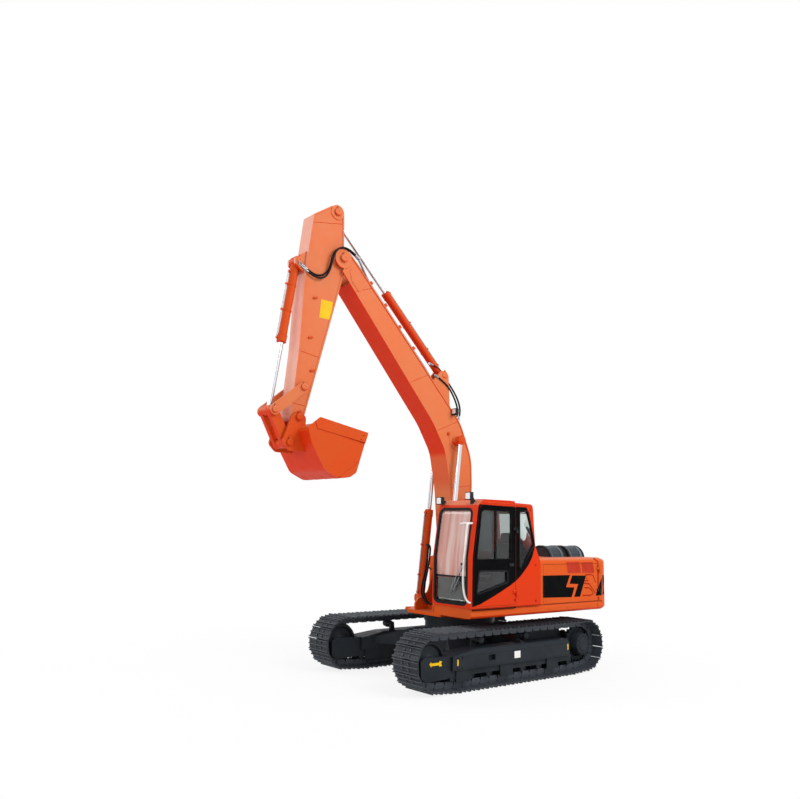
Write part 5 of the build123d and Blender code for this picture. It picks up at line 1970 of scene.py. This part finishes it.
# cylinders: head bolts, port blocks, feed pipes and rod wipers
cylinderRows = [
    # name, body, foot pin, head pin, sideways places, barrel length
    ("boom", "boom_barrels", "cylinderFoot", "cylinderHead", (0.340, -0.340), 1.690),
    ("arm", "arm_barrel", "armCylinderFoot", "armCylinderHead", (0.0,), 1.900),
    ("bucket", "bucket_barrel", "bucketCylinderFoot", "rodPin", (0.0,), 1.400),
]
for name, body, foot, head, sides, barrelLength in cylinderRows:
    footSpot, headSpot = Vector(pins[foot]), Vector(pins[head])
    way2 = (headSpot - footSpot).normalized()
    way = Vector((way2.x, 0.0, way2.y))
    across = Vector((-way2.y, 0.0, way2.x))
    if name == "boom":
        across = -across
    trim, pipes = [], []
    for y in sides:
        start = at(footSpot.x, y, footSpot.y)
        glandEnd = start + way * barrelLength
        trim.append(
            turnedPiece(
                "wiper",
                glandEnd,
                way,
                [(-0.002, 0.0435), (0.012, 0.0435), (0.012, 0.062), (0.004, 0.070), (-0.002, 0.070)],
                28,
                True,
            )
        )
        trim.append(
            turnedPiece(
                "glandRim",
                glandEnd - way * 0.105,
                way,
                [(-0.008, 0.0735), (0.006, 0.0735), (0.006, 0.0825), (-0.008, 0.0825)],
                28,
                True,
            )
        )
        around = [
            start + way * (barrelLength + 0.003) + (
                across * math.cos(turn) + Vector((0, 1, 0)) * math.sin(turn)
            ) * 0.064
            for turn in [2 * math.pi * step / 8 for step in range(8)]
        ]
        trim.append(hexBolts("headBolts", around, way, 0.009, 0.007))
        for along in (0.20, barrelLength - 0.055):
            port = turnedPiece(
                "port", start + way * along + across * 0.066, across,
                [(0, 0.030), (0.026, 0.030), (0.026, 0.022), (0.040, 0.022)], 16,
            )
            trim.append(port)
        high = start + way * (barrelLength - 0.055) + across * 0.100
        low = start + way * 0.235 + across * 0.100
        pipes.append(
            bentPipe(
                "feed",
                [
                    start + way * (barrelLength - 0.055) + across * 0.072,
                    high,
                    high - way * 0.03,
                    low,
                    low - way * 0.04,
                    low - way * 0.05 - across * 0.02,
                ],
                0.011,
            )
        )
        for share in (0.3, 0.62):
            spot = start.lerp(glandEnd, share)
            trim.append(
                turnedPiece(
                    "band",
                    spot,
                    way,
                    [(-0.014, 0.0722), (0.014, 0.0722), (0.014, 0.078), (-0.014, 0.078)],
                    28,
                    True,
                )
            )
            trim.append(
                turnedPiece("saddle", spot + across * 0.070, across, [(0, 0.020), (0.045, 0.020)], 12)
            )
    seat(joinAll(trim, name + "CylinderTrim"), body, "orange_paint", bucketEnamel)
    seat(joinAll(pipes, name + "FeedPipes"), body, "chrome", zinc)
print("cylinders trimmed")

# hoses from the frame up to the inner side of each boom cylinder
footHoses = []
for side in (1, -1):
    for back in (0.0, 0.055):
        route = [
            (
                0.74 - back, side * 0.04, 1.17
            ), (0.74 - back, side * 0.15, 1.24), (0.75 - back, side * 0.20, 1.36),
            (
                0.75 - back, side * 0.19, 1.47
            ), (0.74 - back, side * 0.15, 1.62), (0.71 - back, side * 0.12, 1.85),
            (
                0.68 - back, side * 0.12, 2.05
            ), (0.63 - back, side * 0.17, 2.18), (0.60 - back, side * 0.25, 2.20),
        ]
        footHoses.append(bentPipe("cylinderHose", [at(*point) for point in route], 0.017, 10))
cylinderHoses = joinAll(footHoses, "cylinderFootHoses")
coat(cylinderHoses, rubber)
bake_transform(cylinderHoses)

# weld seams, doubler plates and brackets of the boom and the arm
seamRows = {
    # name: (body, outer face, [(x, z) of both ends])
    "boomWeldSeams": ("boom", 0.2065, [
        [(1.03, 5.245), (1.465, 5.045)], [(2.33, 6.60), (2.72, 6.445)], [(0.30, 4.46), (0.83, 4.235)],
        [(-0.05, 3.30), (0.42, 3.24)],
    ]),
    "armWeldSeams": ("arm", 0.1515, [
        [(3.00, 7.60), (3.56, 7.48)], [(3.33, 5.20), (3.71, 5.26)], [(3.59, 4.38), (3.81, 4.40)],
    ]),
}
for name, (body, face, rows) in seamRows.items():
    lines = [[at(x, side * face, z) for x, z in row] for side in (1, -1) for row in rows]
    seams = [bentPipe("seam", line, 0.005, 8) for line in lines]
    seat(joinAll(seams, name), body, "orange_paint", bucketEnamel)
doublers = {
    "tipPlate": [
        (2.49, 6.60, 0.02), (2.62, 6.44, 0.04), (2.80, 6.63, 0.1), (2.84, 6.79, 0.04), (2.78, 6.86, 0.04),
        (2.58, 6.74, 0.04),
    ],
    "headPlate": [
        (0.12, 3.98, 0.05), (0.30, 3.90, 0.08), (0.48, 4.02, 0.08), (0.50, 4.20, 0.08), (0.34, 4.30, 0.08),
        (0.16, 4.20, 0.05),
    ],
}
plates = []
for side in (1, -1):
    for name, outline in doublers.items():
        plates.append(sidePlate(name, outline, side * 0.2055, side * 0.2140, ease=0.003))
seat(joinAll(plates, "boomDoublers"), "boom", "orange_paint", boomEnamel)
brackets = []
for x, z in ((3.46, 6.20), (3.52, 5.52), (3.46, 4.98)):
    for side in (1, -1):
        lug = sidePlate(
            "lug",
            [
                (x - 0.03, z - 0.02, 0.008), (x + 0.05, z - 0.035, 0.008), (x + 0.06, z - 0.01, 0.008),
                (x - 0.02, z + 0.012, 0.008),
            ],
            side * 0.1505,
            side * 0.180,
            ease=0.003,
        )
        brackets.append(lug)
seat(joinAll(brackets, "armHoseLugs"), "arm", "orange_paint", bucketEnamel)
sticker = sidePlate(
    "armYellowSticker", [(3.35, 6.19), (3.12, 6.19), (3.155, 5.875), (3.375, 5.875)], 0.1505, 0.1520
)
seat(sticker, "arm", "orange_paint", yellowFilm)
boomLugs = []
for x, z in ((0.52, 4.22), (0.40, 4.66)):
    for side in (1, -1):
        boss = turnedPiece(
            "boss",
            at(x, side * 0.205, z),
            (0, side, 0),
            [(0, 0.034), (0.018, 0.034), (0.022, 0.028), (0.022, 0.012), (0.030, 0.012)],
            20,
        )
        boomLugs.append(boss)
seat(joinAll(boomLugs, "boomBosses"), "boom", "orange_paint", bucketEnamel)

# bucket: wear strips round the heel and weld beads
stripOutline = [
    (2.775, 3.385), (2.79, 3.348), (2.905, 3.268, 0.05), (3.13, 3.238, 0.15), (3.38, 3.346, 0.15),
    (3.375, 3.358), (3.13, 3.252, 0.15), (2.91, 3.283, 0.05), (2.80, 3.36),
]
wearStrips = []
for y in (-0.40, -0.135, 0.135, 0.40):
    wearStrips.append(sidePlate("wearStrip", stripOutline, y - 0.035, y + 0.035))
seat(joinAll(wearStrips, "bucketWearStrips"), "bucket", "orange_paint", bucketEnamel)
beadRows = [
    # radius, (x, z) along the bead
    (0.010, [(2.64, 3.835), (3.10, 3.925), (3.56, 4.015)]),
    (0.005, [(2.765, 3.52), (2.80, 3.37), (2.915, 3.29), (3.13, 3.262)]),
]
beads = []
for side in (1, -1):
    for radius, row in beadRows:
        beads.append(bentPipe("bead", [at(x, side * 0.5215, z) for x, z in row], radius, 8))
seat(joinAll(beads, "bucketWelds"), "bucket", "orange_paint", sealerAndShadeRed)
print("front end dressed")
